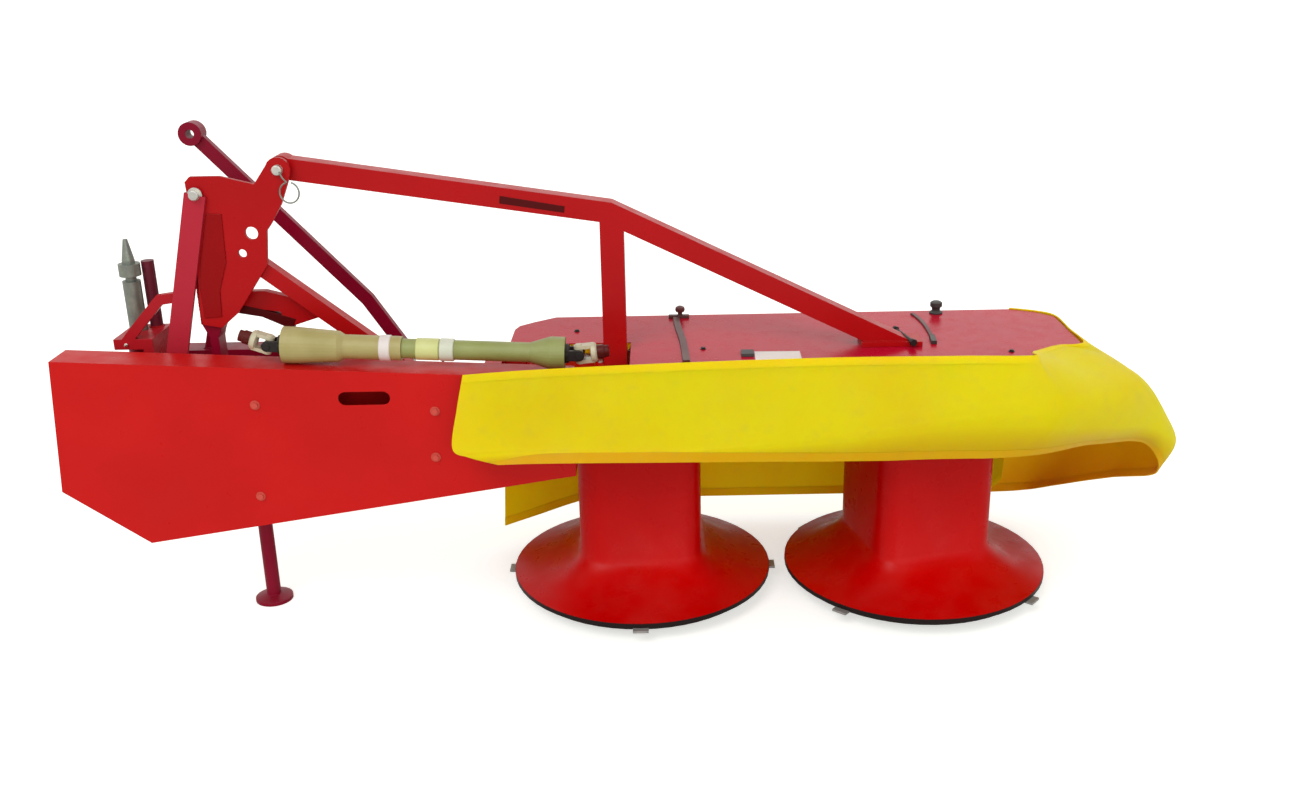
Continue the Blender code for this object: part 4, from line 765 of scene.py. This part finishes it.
def bolt_tree(material):
    """A hexagon head over a round washer, on each point, along the point's axis."""
    tree, start, end = repeat_tree("hexagon_bolts_" + material.name, [
        ("Head Radius", "NodeSocketFloat", 0.010), ("Head Height", "NodeSocketFloat", 0.007),
        ("Washer Radius", "NodeSocketFloat", 0.013), ("Washer Height", "NodeSocketFloat", 0.002)])
    parts = []
    for sides, radius, height, rise in ((6, "Head Radius", "Head Height", "Washer Height"),
                                        (20, "Washer Radius", "Washer Height", None)):
        shape = node(tree, "GeometryNodeMeshCylinder", fill_type="NGON")
        shape.inputs["Vertices"].default_value = sides
        tree.links.new(start.outputs[radius], shape.inputs["Radius"])
        tree.links.new(start.outputs[height], shape.inputs["Depth"])
        part = lifted(tree, shape.outputs["Mesh"], times(tree, start.outputs[height], 0.5))
        parts.append(lifted(tree, part, start.outputs[rise]) if rise else part)
    joined = tree.nodes.new("GeometryNodeJoinGeometry")
    for part in parts:
        tree.links.new(part, joined.inputs[0])

    # One on each point, its Z along the point's axis, turned by chance about it
    axis = node(tree, "GeometryNodeInputNamedAttribute", data_type="FLOAT_VECTOR")
    axis.inputs["Name"].default_value = "axis"
    aim = node(tree, "FunctionNodeAlignRotationToVector", axis="Z")
    tree.links.new(axis.outputs[0], aim.inputs["Vector"])
    spread = tree.nodes.new("GeometryNodeInstanceOnPoints")
    tree.links.new(start.outputs["Geometry"], spread.inputs["Points"])
    tree.links.new(joined.outputs[0], spread.inputs["Instance"])
    tree.links.new(aim.outputs[0], spread.inputs["Rotation"])
    spin = node(tree, "FunctionNodeRandomValue", data_type="FLOAT")
    spin.inputs[2].default_value = 0.0
    spin.inputs[3].default_value = math.pi / 3
    spin.inputs["Seed"].default_value = 7
    combine = tree.nodes.new("ShaderNodeCombineXYZ")
    tree.links.new(spin.outputs[1], combine.inputs["Z"])
    roll = tree.nodes.new("GeometryNodeRotateInstances")
    roll.inputs["Local Space"].default_value = True
    tree.links.new(spread.outputs[0], roll.inputs[0])
    tree.links.new(combine.outputs[0], roll.inputs["Rotation"])
    end_tree(tree, roll.outputs[0], end, material)
    return tree


def bead_tree(material):
    """A weld bead along the mesh's edges: overlapping flat drops, each turned to the line."""
    tree, start, end = repeat_tree("weld_bead_" + material.name, [
        ("Radius", "NodeSocketFloat", 0.003), ("Step", "NodeSocketFloat", 0.004)])
    line = tree.nodes.new("GeometryNodeMeshToCurve")
    tree.links.new(start.outputs["Geometry"], line.inputs[0])
    spaced = node(tree, "GeometryNodeResampleCurve", mode="LENGTH")
    tree.links.new(line.outputs[0], spaced.inputs["Curve"])
    tree.links.new(start.outputs["Step"], spaced.inputs["Length"])
    drop = tree.nodes.new("GeometryNodeMeshUVSphere")
    drop.inputs["Segments"].default_value = 8
    drop.inputs["Rings"].default_value = 4
    tree.links.new(start.outputs["Radius"], drop.inputs["Radius"])
    lead = tree.nodes.new("GeometryNodeInputTangent")
    aim = node(tree, "FunctionNodeAlignRotationToVector", axis="X")
    tree.links.new(lead.outputs[0], aim.inputs["Vector"])
    size = node(tree, "FunctionNodeRandomValue", data_type="FLOAT")
    size.inputs[2].default_value = 0.85
    size.inputs[3].default_value = 1.12
    size.inputs["Seed"].default_value = 3
    spread = tree.nodes.new("GeometryNodeInstanceOnPoints")
    tree.links.new(spaced.outputs[0], spread.inputs["Points"])
    tree.links.new(drop.outputs[0], spread.inputs["Instance"])
    tree.links.new(aim.outputs[0], spread.inputs["Rotation"])
    tree.links.new(size.outputs[1], spread.inputs["Scale"])
    end_tree(tree, spread.outputs[0], end, material)
    return tree


TREES = {}


def grown(name, tree, points, edges, axes, values, body):
    """Run a geometry tree on points and edges, and keep its result as a plain mesh."""
    base = bpy.data.meshes.new(name + "_base")
    base.from_pydata([tuple(point) for point in points], edges, [])
    if axes:
        data = base.attributes.new("axis", "FLOAT_VECTOR", "POINT")
        for index, axis in enumerate(axes):
            data.data[index].vector = axis
    piece = bpy.data.objects.new(name, base)
    bpy.context.scene.collection.objects.link(piece)
    step = piece.modifiers.new("grow", "NODES")
    step.node_group = tree
    for socket in tree.interface.items_tree:
        if socket.item_type == "SOCKET" and socket.in_out == "INPUT" and socket.name in values:
            step[socket.identifier] = values[socket.name]
    bpy.context.view_layer.update()
    graph = bpy.context.evaluated_depsgraph_get()
    mesh = bpy.data.meshes.new_from_object(piece.evaluated_get(graph), depsgraph=graph)
    mesh.name = name
    piece.modifiers.clear()
    piece.data = mesh
    mesh.shade_smooth()
    mesh.set_sharp_from_angle(angle=math.radians(35))
    return settle(piece, body)


def bolts(name, spots, radius, body, material=zinc):
    """Hexagon heads on washers at (place, axis) spots, sized by the head's radius."""
    if ("bolt", material.name) not in TREES:
        TREES["bolt", material.name] = bolt_tree(material)
    values = {"Head Radius": radius, "Head Height": radius * 0.68,
              "Washer Radius": radius * 1.4, "Washer Height": radius * 0.2}
    points = [spot for spot, _ in spots]
    axes = [axis for _, axis in spots]
    return grown(name, TREES["bolt", material.name], points, [], axes, values, body)


def beads(name, lines, radius, body, material=red):
    """Painted weld beads along lines of points; a line that ends where it starts is closed."""
    if ("bead", material.name) not in TREES:
        TREES["bead", material.name] = bead_tree(material)
    points = []
    edges = []
    for line in lines:
        closed = (Vector(line[0]) - Vector(line[-1])).length < radius
        spots = line[:-1] if closed else line
        first = len(points)
        points += spots
        edges += [(first + index, first + index + 1) for index in range(len(spots) - 1)]
        if closed:
            edges.append((first + len(spots) - 1, first))
    values = {"Radius": radius, "Step": radius * 1.25}
    return grown(name, TREES["bead", material.name], points, edges, None, values, body)


def level_ring(low, high, height):
    """A closed rectangle at a height."""
    corners = [(low[0], low[1]), (high[0], low[1]), (high[0], high[1]), (low[0], high[1]), (low[0], low[1])]
    return [(x, y, height) for x, y in corners]


def circle(centre, axis, radius, steps=28):
    """A closed circle about an axis."""
    lead = Vector(axis).normalized()
    side = lead.orthogonal().normalized()
    across = lead.cross(side)
    points = []
    for step in range(steps + 1):
        angle = 2 * math.pi * step / steps
        points.append(Vector(centre) + radius * (math.cos(angle) * side + math.sin(angle) * across))
    points[-1] = points[0].copy()
    return points


# Skirt cloth: a smooth sheet through stations, each a row of points from its top to its hem

def mark_fold_shade(piece, values):
    """Store how far each point of the cloth is tucked in, from 0 to 1, as the share of painted fold shade
    there.
    """
    painted_fold_shade = piece.data.attributes.new("painted_fold_shade", "FLOAT", "POINT")
    for index, value in enumerate(values):
        painted_fold_shade.data[index].value = value


def drape(name, stations, wide, folds, takes_fold_shade=True):
    """Make a skirt's sheet, let it wave a little below its top, and give it its thickness and UV map.

    A sheet that takes the fold shade carries how far each point lies between its lower row and its hem, which
    sets the painted shade there.
    Gives the piece, the columns of its middle face, its length and longest drop, and its area.
    """
    tall = DROP_CELLS
    rows = [[Vector(point) for point in station] for station in stations]
    levels = len(rows[0])
    grid = []
    for i in range(wide + 1):
        along = i / wide * (len(rows) - 1)
        column = [smooth_between([row[level] for row in rows], along) for level in range(levels)]
        grid.append([smooth_between(column, j / tall * (levels - 1)) for j in range(tall + 1)])
    middle = []
    normals = []
    for i in range(wide + 1):
        for j in range(tall + 1):
            along = grid[min(i + 1, wide)][j] - grid[max(i - 1, 0)][j]
            down = grid[i][min(j + 1, tall)] - grid[i][max(j - 1, 0)]
            normal = along.cross(down).normalized()
            point = grid[i][j]
            wave = 0.0
            for scale, height, stretch in folds:
                spot = Vector((point.x * scale, point.y * scale, point.z * scale * stretch))
                wave += height * noise.noise(spot)
            free = min(j / tall * 3.0, 1.0)
            normals.append(normal)
            middle.append(point + normal * wave * free)
    points = [point + normal * CLOTH / 2 for point, normal in zip(middle, normals)]
    points += [point - normal * CLOTH / 2 for point, normal in zip(middle, normals)]
    shift = len(middle)
    step = tall + 1
    faces = []
    area = 0.0
    for i in range(wide):
        for j in range(tall):
            a, b = i * step + j, (i + 1) * step + j
            faces.append((a, b, b + 1, a + 1))
            faces.append((shift + a, shift + a + 1, shift + b + 1, shift + b))
            area += ((middle[a + 1] - middle[b]).cross(middle[a] - middle[b + 1])).length / 2
    edge = [i * step for i in range(wide + 1)] + [wide * step + j for j in range(1, step)]
    edge += [i * step + tall for i in range(wide - 1, -1, -1)] + list(range(tall - 1, 0, -1))
    for index, corner in enumerate(edge):
        after = edge[(index + 1) % len(edge)]
        faces.append((corner, shift + corner, shift + after, after))
    piece = add_piece(name, (points, faces), yellow, "cutting_unit", 60.0)

    # UV map in metres along the cloth
    lengths = [0.0]
    for i in range(wide):
        lengths.append(lengths[-1] + (middle[(i + 1) * step] - middle[i * step]).length)
    drops = []
    for i in range(wide + 1):
        line = [0.0]
        for j in range(tall):
            line.append(line[-1] + (middle[i * step + j + 1] - middle[i * step + j]).length)
        drops.append(line)
    layer = piece.data.uv_layers.new(name="UVMap")
    for loop in piece.data.loops:
        index = loop.vertex_index % shift
        layer.data[loop.index].uv = (lengths[index // step], drops[index // step][index % step])
    places = [index % shift % step / tall * (levels - 1) for index in range(2 * shift)]
    mark_fold_shade(piece, [min(max(place - 3, 0.0), 1.0) if takes_fold_shade else 0.0 for place in places])
    size = (lengths[-1], max(line[-1] for line in drops))
    return piece, [middle[i * step:(i + 1) * step] for i in range(wide + 1)], size, area


def edge_band(name, columns, level, width, lift, takes_fold_shade=True):
    """A strip welded round the sheet's edge, along one level of its grid."""
    points = []
    for index, column in enumerate(columns):
        spot = column[level]
        towards = column[level - 1] if level else column[1]
        ahead = columns[min(index + 1, len(columns) - 1)][level]
        behind = columns[max(index - 1, 0)][level]
        down = (towards - spot).normalized()
        out = (ahead - behind).cross(down).normalized()
        for share in (0.0, 1.0):
            for side in (-1, 1):
                points.append(spot + down * (width * share - 0.001) + out * side * (CLOTH / 2 + lift))
    faces = []
    for index in range(len(columns) - 1):
        a, b = index * 4, (index + 1) * 4
        faces += [(a, a + 2, b + 2, b), (a + 1, b + 1, b + 3, a + 3),
                  (a, b, b + 1, a + 1), (a + 2, a + 3, b + 3, b + 2)]
    faces += [(0, 1, 3, 2), (len(points) - 4, len(points) - 2, len(points) - 1, len(points) - 3)]
    piece = add_piece(name, (points, faces), yellow, "cutting_unit", 50.0)
    # The hem band takes the painted fold shade in full
    mark_fold_shade(piece, [1.0 if level and takes_fold_shade else 0.0] * len(points))
    return piece


def dress_skirts():
    """The rear and end skirt in one length, and the front skirt, with their bands."""
    piece, columns, size, area = drape("guard_skirt", GUARD_STATIONS, 260, GUARD_FOLDS)
    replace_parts(piece, "skirt_rear", "skirt_end")
    hem = edge_band("guard_skirt_hem", columns, DROP_CELLS, HEM_WIDTH, HEM_LIFT)
    band = edge_band("guard_skirt_band", columns, 0, BAND_WIDTH, BAND_LIFT)

    piece, columns, size, area = drape("front_skirt", FRONT_STATIONS[::-1], 150, FRONT_FOLDS, takes_fold_shade=False)
    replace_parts(piece, "skirt_front")
    hem = edge_band("front_skirt_hem", columns, DROP_CELLS, HEM_WIDTH, HEM_LIFT, takes_fold_shade=False)


# Fittings

def dress_drums():
    """Each drum's spun shell, its faces joined and shaded as one smooth surface."""
    for side in ("left", "right"):
        form = bmesh.new()
        form.from_mesh(frame["nodes"]["drum_" + side].data)
        bmesh.ops.remove_doubles(form, verts=form.verts, dist=0.00002)
        points = [vert.co.copy() for vert in form.verts]
        faces = [tuple(vert.index for vert in face.verts) for face in form.faces]
        form.free()
        piece = add_piece(
            "drum_" + side + "_shell", (points, faces), drum_red, "drum_rotor_" + side, 38.0)
        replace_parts(piece, "drum_" + side)


def dress_bolts():
    """Hexagon bolts on the cover, the gear beam, the gearbox, the fork's caps and the input housing."""
    near, far, up = (0, -1, 0), (0, 1, 0), (0, 0, 1)
    face = COVER_FACE - SEAT
    spots = [((x, face, z), near) for x, z in COVER_BOLTS]
    # The cover's bolts take the painted reflection pink
    bolts("cover_bolts", spots, COVER_BOLT, "carrier", bolt_pink_reflection)
    top = BEAM_TOP + SEAT
    rows = [((0.20 + 0.07 * step, y, top), up) for step in range(7) for y in (-0.062, 0.062)]
    bolts("beam_bolts", rows, BEAM_BOLT, "cutting_unit")
    ends = []
    for x, first in ((0.0, 60), (DRUM_SPACING, 240)):
        for step in range(7):
            angle = math.radians(first + 40 * step)
            ends.append(((x + 0.105 * math.cos(angle), 0.105 * math.sin(angle), top), up))
    ends = [spot for spot in ends if abs(spot[0][0] - 0.1) > 0.03 and abs(spot[0][0] - DRUM_SPACING) > 0.03]
    bolts("beam_end_bolts", ends, BEAM_BOLT, "cutting_unit")
    box = [((x, y, GEARBOX_TOP + SEAT), up) for x in (-0.300, -0.220, -0.150) for y in (-0.088, 0.088)]
    bolts("gearbox_bolts", box, BEAM_BOLT, "cutting_unit")

    # Cap round the front trunnion
    x, z = TRUNNION
    cap = turned([(0.058, 0), (0.058, 0.006), (0.050, 0.009), (0.0425, 0.009)], (x, 0.1454, z), far)
    add_piece("trunnion_cap", cap, red, "carrier")
    ring = []
    for step in range(4):
        angle = math.radians(45 + 90 * step)
        ring.append(((x + 0.050 * math.cos(angle), 0.1545, z + 0.050 * math.sin(angle)), far))
    bolts("trunnion_cap_bolts", ring, SMALL_BOLT, "carrier")

    # Flange of the input housing, and the keys on its stub
    x, z = INPUT
    flange = [(0.078, 0), (0.078, 0.007), (0.060, 0.011), (0.0555, 0.022)]
    add_piece("input_flange", turned(flange, (x, COVER_BACK + SEAT, z), far), red, "carrier")
    ring = []
    keys = []
    for step in range(6):
        angle = math.radians(30 + 60 * step)
        out = Vector((math.cos(angle), 0, math.sin(angle)))
        ring.append((Vector((x, COVER_BACK + 0.0078, z)) + out * 0.069, far))
        root = Vector((x, -0.057, z)) + out * 0.0183
        keys.append(lug(root, far, out, 0.0070, 0.098, 0.0030))
    bolts("input_flange_bolts", ring, SMALL_BOLT, "carrier")
    add_piece("input_keys", gather(*keys), zinc, "carrier")

    # Clamp screw of the stand's sleeve
    screw = [(0.0100, 0), (0.0100, 0.012), (0.0055, 0.012), (0.0055, 0.034)]
    bar = [(0.0038, 0), (0.0046, 0.004), (0.0038, 0.035), (0.0046, 0.066), (0.0038, 0.070)]
    clamp = gather(turned(screw, (-1.141, STAND[1], 0.640), (-1, 0, 0)),
                   turned(bar, (-1.170, STAND[1], 0.605), up, 12))
    add_piece("stand_clamp", clamp, zinc, "carrier")


def dress_welds():
    """Painted weld beads where members meet."""
    up = (0, 0, 1)
    post = level_ring((-0.093, -0.074), (-0.027, -0.016), BEAM_TOP + SEAT)
    beads("post_weld", [post], 0.0032, "cutting_unit")

    # Mast column's foot, yoke's upright, both ends of the main beam, mast plate and the stand's sleeve
    column_low, column_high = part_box("mast_column")
    plate_low, plate_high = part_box("mast_plate")
    beam_low, beam_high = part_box("main_beam")
    middle = (column_low.x + column_high.x) / 2
    foot = (middle - 0.0124, column_low.y), (middle + 0.0124, column_high.y)
    lines = [level_ring(*foot, beam_high.z + SEAT), circle((*UPRIGHT, 0.8284), up, 0.0188)]
    for x in (beam_low.x, beam_high.x):
        corners = [(beam_low.y, beam_low.z), (beam_high.y, beam_low.z), (beam_high.y, beam_high.z),
                   (beam_low.y, beam_high.z), (beam_low.y, beam_low.z)]
        lines.append([(x, y, z) for y, z in corners])
    for x in (column_low.x, column_high.x):
        lines.append([(x, plate_high.y, column_high.z), (x, plate_high.y, plate_low.z + 0.01)])
    lines.append(circle((*STAND, 0.6752), up, 0.0245))
    beads("carrier_welds", lines, BEAD, "carrier")

    # Pivot tube, foot of the strut and the roots of the lower pins, in the painted shade red
    lines = [circle((PIVOT_X, 0, 0.6826), up, 0.0368),
             level_ring((-1.3195, 0.1775), (-1.2745, 0.2225), HITCH[1] + 0.0404)]
    for x in (-1.5003, -0.6997):
        lines.append(circle((x, *HITCH), (1, 0, 0), 0.0285))
    beads("hitch_welds", lines, BEAD, "hitch", shade_red)


def dress_mast():
    """Pin heads, the mast's dark strips of painted shade and the arm's flat plate, the pins' ring and clips,
    and the grease nipples.
    """
    near, far, up = (0, -1, 0), (0, 1, 0), (0, 0, 1)
    shapes = []
    for (x, z), face in ((STAY_PIN, -0.1233), (ARM_PIN, -0.111)):
        shapes.append(turned([(0.0200, 0), (0.0200, 0.003)], (x, face + 0.0135, z), near))
        shapes.append(turned([(0.0135, 0), (0.0135, 0.012), (0.0115, 0.014)], (x, face + 0.010, z), near))
    add_piece("mast_pin_heads", gather(*shapes), zinc, "carrier")

    # Dark strips of painted shade on the plate beside the stay and under the gusset, and the blank plate on
    # the arm
    strips = [("mast_shade_strip", mast_shade_red, "carrier", -0.1042, -0.1012, MAST_SHADE_OUTLINE),
              ("gusset_shade_strip", shade_and_plate_black, "carrier", -0.0495, -0.0214, GUSSET_SHADE_OUTLINE),
              ("arm_plate", shade_and_plate_black, "cutting_unit", -0.0752, -0.0744, ARM_PLATE)]
    for name, material, body, front, back, outline in strips:
        add_piece(name, plate(outline, front, back), material, body)

    # Spring ring that hangs from the quick-release pin
    y = -0.116
    ring = [(-0.944, y, 1.292), (-0.937, y, 1.276)]
    for step in range(40):
        angle = math.radians(100 + 335 * step / 39)
        ring.append((-0.922 + 0.026 * math.cos(angle), y, 1.236 + 0.028 * math.sin(angle)))
    add_piece("quick_pin_ring", tube_along(ring, 0.0023), pin_grey, "carrier")

    # Clip and loop near the end of each lower hitch pin
    y, z = HITCH
    shapes = []
    for x in (-1.600, -0.600):
        shapes.append(turned([(0.0038, 0), (0.0038, 0.044)], (x, y, z - 0.022), up, 12))
        angles = [math.radians(30 * step) for step in range(12)]
        loop = [(x + 0.0005, y + 0.017 * math.sin(angle), z + 0.017 * math.cos(angle)) for angle in angles]
        shapes.append(tube_along(loop, 0.0016, 8, True))
    add_piece("hitch_pin_clips", gather(*shapes), pin_grey, "hitch")

    # Grease nipples on the yoke and the fork
    nipples = [((PIVOT_X, -0.1012, 0.610), near), ((PIVOT_X, -0.1012, 0.813), near),
               ((TRUNNION[0], 0.146, 0.690), (0, 1, 0.3)), ((TRUNNION[0], -0.146, 0.690), (0, -1, 0.3))]
    shapes = [turned(NIPPLE, place, axis, 12) for place, axis in nipples]
    add_piece("grease_nipples", gather(*shapes), zinc, "carrier")


def dress_shaft():
    """The universal joints, rings and bands of the stowed drive shaft."""
    guard_low, guard_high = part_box("shaft_guard_outer")
    end_low, end_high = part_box("shaft_guard_inner")
    start = Vector((guard_low.x, (guard_low.y + guard_high.y) / 2, guard_high.z - 0.050))
    stop = Vector((end_high.x, (end_low.y + end_high.y) / 2, end_low.z + 0.045))
    axis = (stop - start).normalized()

    def spot(x):
        return start + axis * ((x - start.x) / axis.x)

    for side, x, way, tilt in (("left", -0.990, -1, 0.36), ("right", -0.150, 1, 0.10)):
        centre = spot(x)
        outward = Vector((way, 0, tilt))
        inner = fork_end(centre, axis * -way, (0, 1, 0), 0.032, 0.027)
        piece = add_piece("joint_inner_" + side, inner, dark, "carrier")
        outer = fork_end(centre, outward, (0, 0, 1), 0.036, 0.027)
        # The outer fork in cream, a painted highlight
        add_piece("joint_outer_" + side, outer, highlight_cream, "carrier")
        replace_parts(piece, "shaft_yoke_" + side)
        outward.normalize()
        tip = centre + outward * 0.044
        root = tip + Vector((0, -0.023, 0)) + outward * 0.012
        sleeve = gather(turned(SLEEVE, tip, outward, 24),
                        turned([(0.006, 0), (0.006, 0.046)], root, (0, 1, 0), 12))
        add_piece("joint_sleeve_" + side, sleeve, dark_red, "carrier")
    rings = [("shaft_white_ring", -0.688, 0.0355, 0.030, white_plastic),
             ("shaft_yellow_band", -0.590, 0.0300, 0.062, yellow_plastic),
             ("shaft_pale_band", -0.526, 0.0310, 0.038, pale_plastic)]
    for name, x, radius, length, material in rings:
        profile = [(radius - 0.002, 0), (radius, 0.002), (radius, length - 0.002), (radius - 0.002, length)]
        add_piece(name, turned(profile, spot(x), axis), material, "carrier")


def dress_deck():
    """Straps with their knobs, the blank plate and the fixings on the deck."""
    rise = DECK_TOP + SEAT
    up = (0, 0, 1)
    body = "cutting_unit"
    strap = gather(ribbon(smooth_path(NEAR_STRAP, 24), 0.021, 0.006, rise),
                   ribbon([(0.094, 0.247), (0.156, 0.247)], 0.016, 0.009, rise),
                   turned(KNOB, (0.129, 0.250, rise + 0.004), up, 20))
    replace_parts(add_piece("strap_near", strap, maroon, body), "strap_left")
    strap = ribbon(smooth_path(FAR_STRAP, 20), 0.011, 0.005, rise)
    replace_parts(add_piece("strap_far", strap, maroon, body), "strap_right")
    latch = gather(ribbon([(0.848, -0.006), (0.842, -0.070)], 0.016, 0.010, rise),
                   turned(LATCH, (0.910, 0.246, rise), up, 24))
    add_piece("latch_far", latch, rubber, body)

    # Blank plate with the pad beside it
    blank = ribbon([(0.330, -0.154), (0.457, -0.157)], 0.092, 0.0012, rise)
    add_piece("blank_plate", blank, plate_white, body)
    pad = ribbon([(0.293, -0.133), (0.328, -0.134)], 0.046, 0.0080, rise)
    add_piece("deck_pad", pad, rubber, body)

    # Cross bolt through the arm's foot, and the deck's own bolts
    start, stop = Vector((0.748, 0.030, 0.779)), Vector((0.778, -0.108, 0.779))
    length = (stop - start).length
    head, shank = 0.0105, 0.0060
    profile = [(head, 0), (head, 0.010), (shank, 0.010), (shank, length - 0.012),
               (head, length - 0.012), (head, length)]
    add_piece("arm_foot_bolt", turned(profile, start, stop - start, 6), dark, body)
    spots = [((x, y, rise), up) for x, y in ((0.189, -0.076), (1.040, -0.150), (-0.180, 0.120))]
    bolts("deck_bolts", spots, 0.006, body, dark)


# Stage

def build_floor():
    """The floor, which shows near white to the camera and keeps the object's shadow."""
    bpy.ops.mesh.primitive_circle_add(vertices=96, radius=90, fill_type="NGON", location=(0, 0, -0.0005))
    floor = bpy.context.object
    floor.name = "studio_floor"
    material, tree, shader = start_material("floor_white", 0.9, Specular_IOR_Level=0.1)
    shader.inputs["Base Color"].default_value = FLOOR_COLOUR
    shader.inputs["Emission Color"].default_value = FLOOR_GLOW
    seen = tree.nodes.new("ShaderNodeLightPath")
    tree.links.new(times(tree, seen.outputs["Is Camera Ray"], FLOOR_LIFT), shader.inputs["Emission Strength"])
    floor.data.materials.append(material)


def build_light():
    """A white world that lights the object more softly than it shows, and three soft suns."""
    world = bpy.data.worlds.new("studio")
    bpy.context.scene.world = world
    world.use_nodes = True
    tree = world.node_tree
    sky = tree.nodes["Background"]
    sky.inputs["Color"].default_value = SKY_COLOUR
    rays = tree.nodes.new("ShaderNodeLightPath")
    white = node(tree, "ShaderNodeMath", operation="MAXIMUM")
    clear = node(tree, "ShaderNodeMath", operation="MAXIMUM")
    tree.links.new(rays.outputs["Is Camera Ray"], white.inputs[0])
    tree.links.new(rays.outputs["Is Glossy Ray"], white.inputs[1])
    tree.links.new(white.outputs[0], clear.inputs[0])
    tree.links.new(rays.outputs["Is Transmission Ray"], clear.inputs[1])
    tree.links.new(ramp(tree, clear.outputs[0], 0.0, 1.0, SKY_STRENGTH, 1.0), sky.inputs["Strength"])
    for name, aim, energy, angle in SUNS:
        lamp = bpy.data.lights.new(name, "SUN")
        lamp.energy = energy
        lamp.angle = math.radians(angle)
        holder = bpy.data.objects.new(name, lamp)
        holder.rotation_mode = "QUATERNION"
        holder.rotation_quaternion = Vector(aim).to_track_quat("-Z", "Y")
        bpy.context.scene.collection.objects.link(holder)


def build_camera():
    """The camera at the photo's place and angle."""
    pitch, heading, roll = (math.radians(angle) for angle in (CAMERA_PITCH, CAMERA_HEADING, CAMERA_ROLL))
    level = math.cos(pitch)
    ahead = Vector((math.sin(heading) * level, math.cos(heading) * level, -math.sin(pitch)))
    right = Vector((math.cos(heading), -math.sin(heading), 0))
    up = right.cross(ahead)
    side = math.cos(roll) * right + math.sin(roll) * up
    top = -math.sin(roll) * right + math.cos(roll) * up
    camera = bpy.data.cameras.new("camera")
    camera.sensor_width = SENSOR
    camera.lens = SENSOR * FOCAL_PX / FRAME_PX
    camera.clip_end = 400
    holder = bpy.data.objects.new("camera", camera)
    turn = Matrix((side, top, -ahead)).transposed().to_4x4()
    holder.matrix_world = Matrix.Translation(CAMERA_PLACE) @ turn
    bpy.context.scene.collection.objects.link(holder)
    bpy.context.scene.camera = holder


dress_skirts()
dress_drums()
dress_bolts()
dress_welds()
dress_mast()
dress_shaft()
dress_deck()
build_floor()
build_light()
build_camera()
bpy.context.scene.view_settings.view_transform = "Standard"
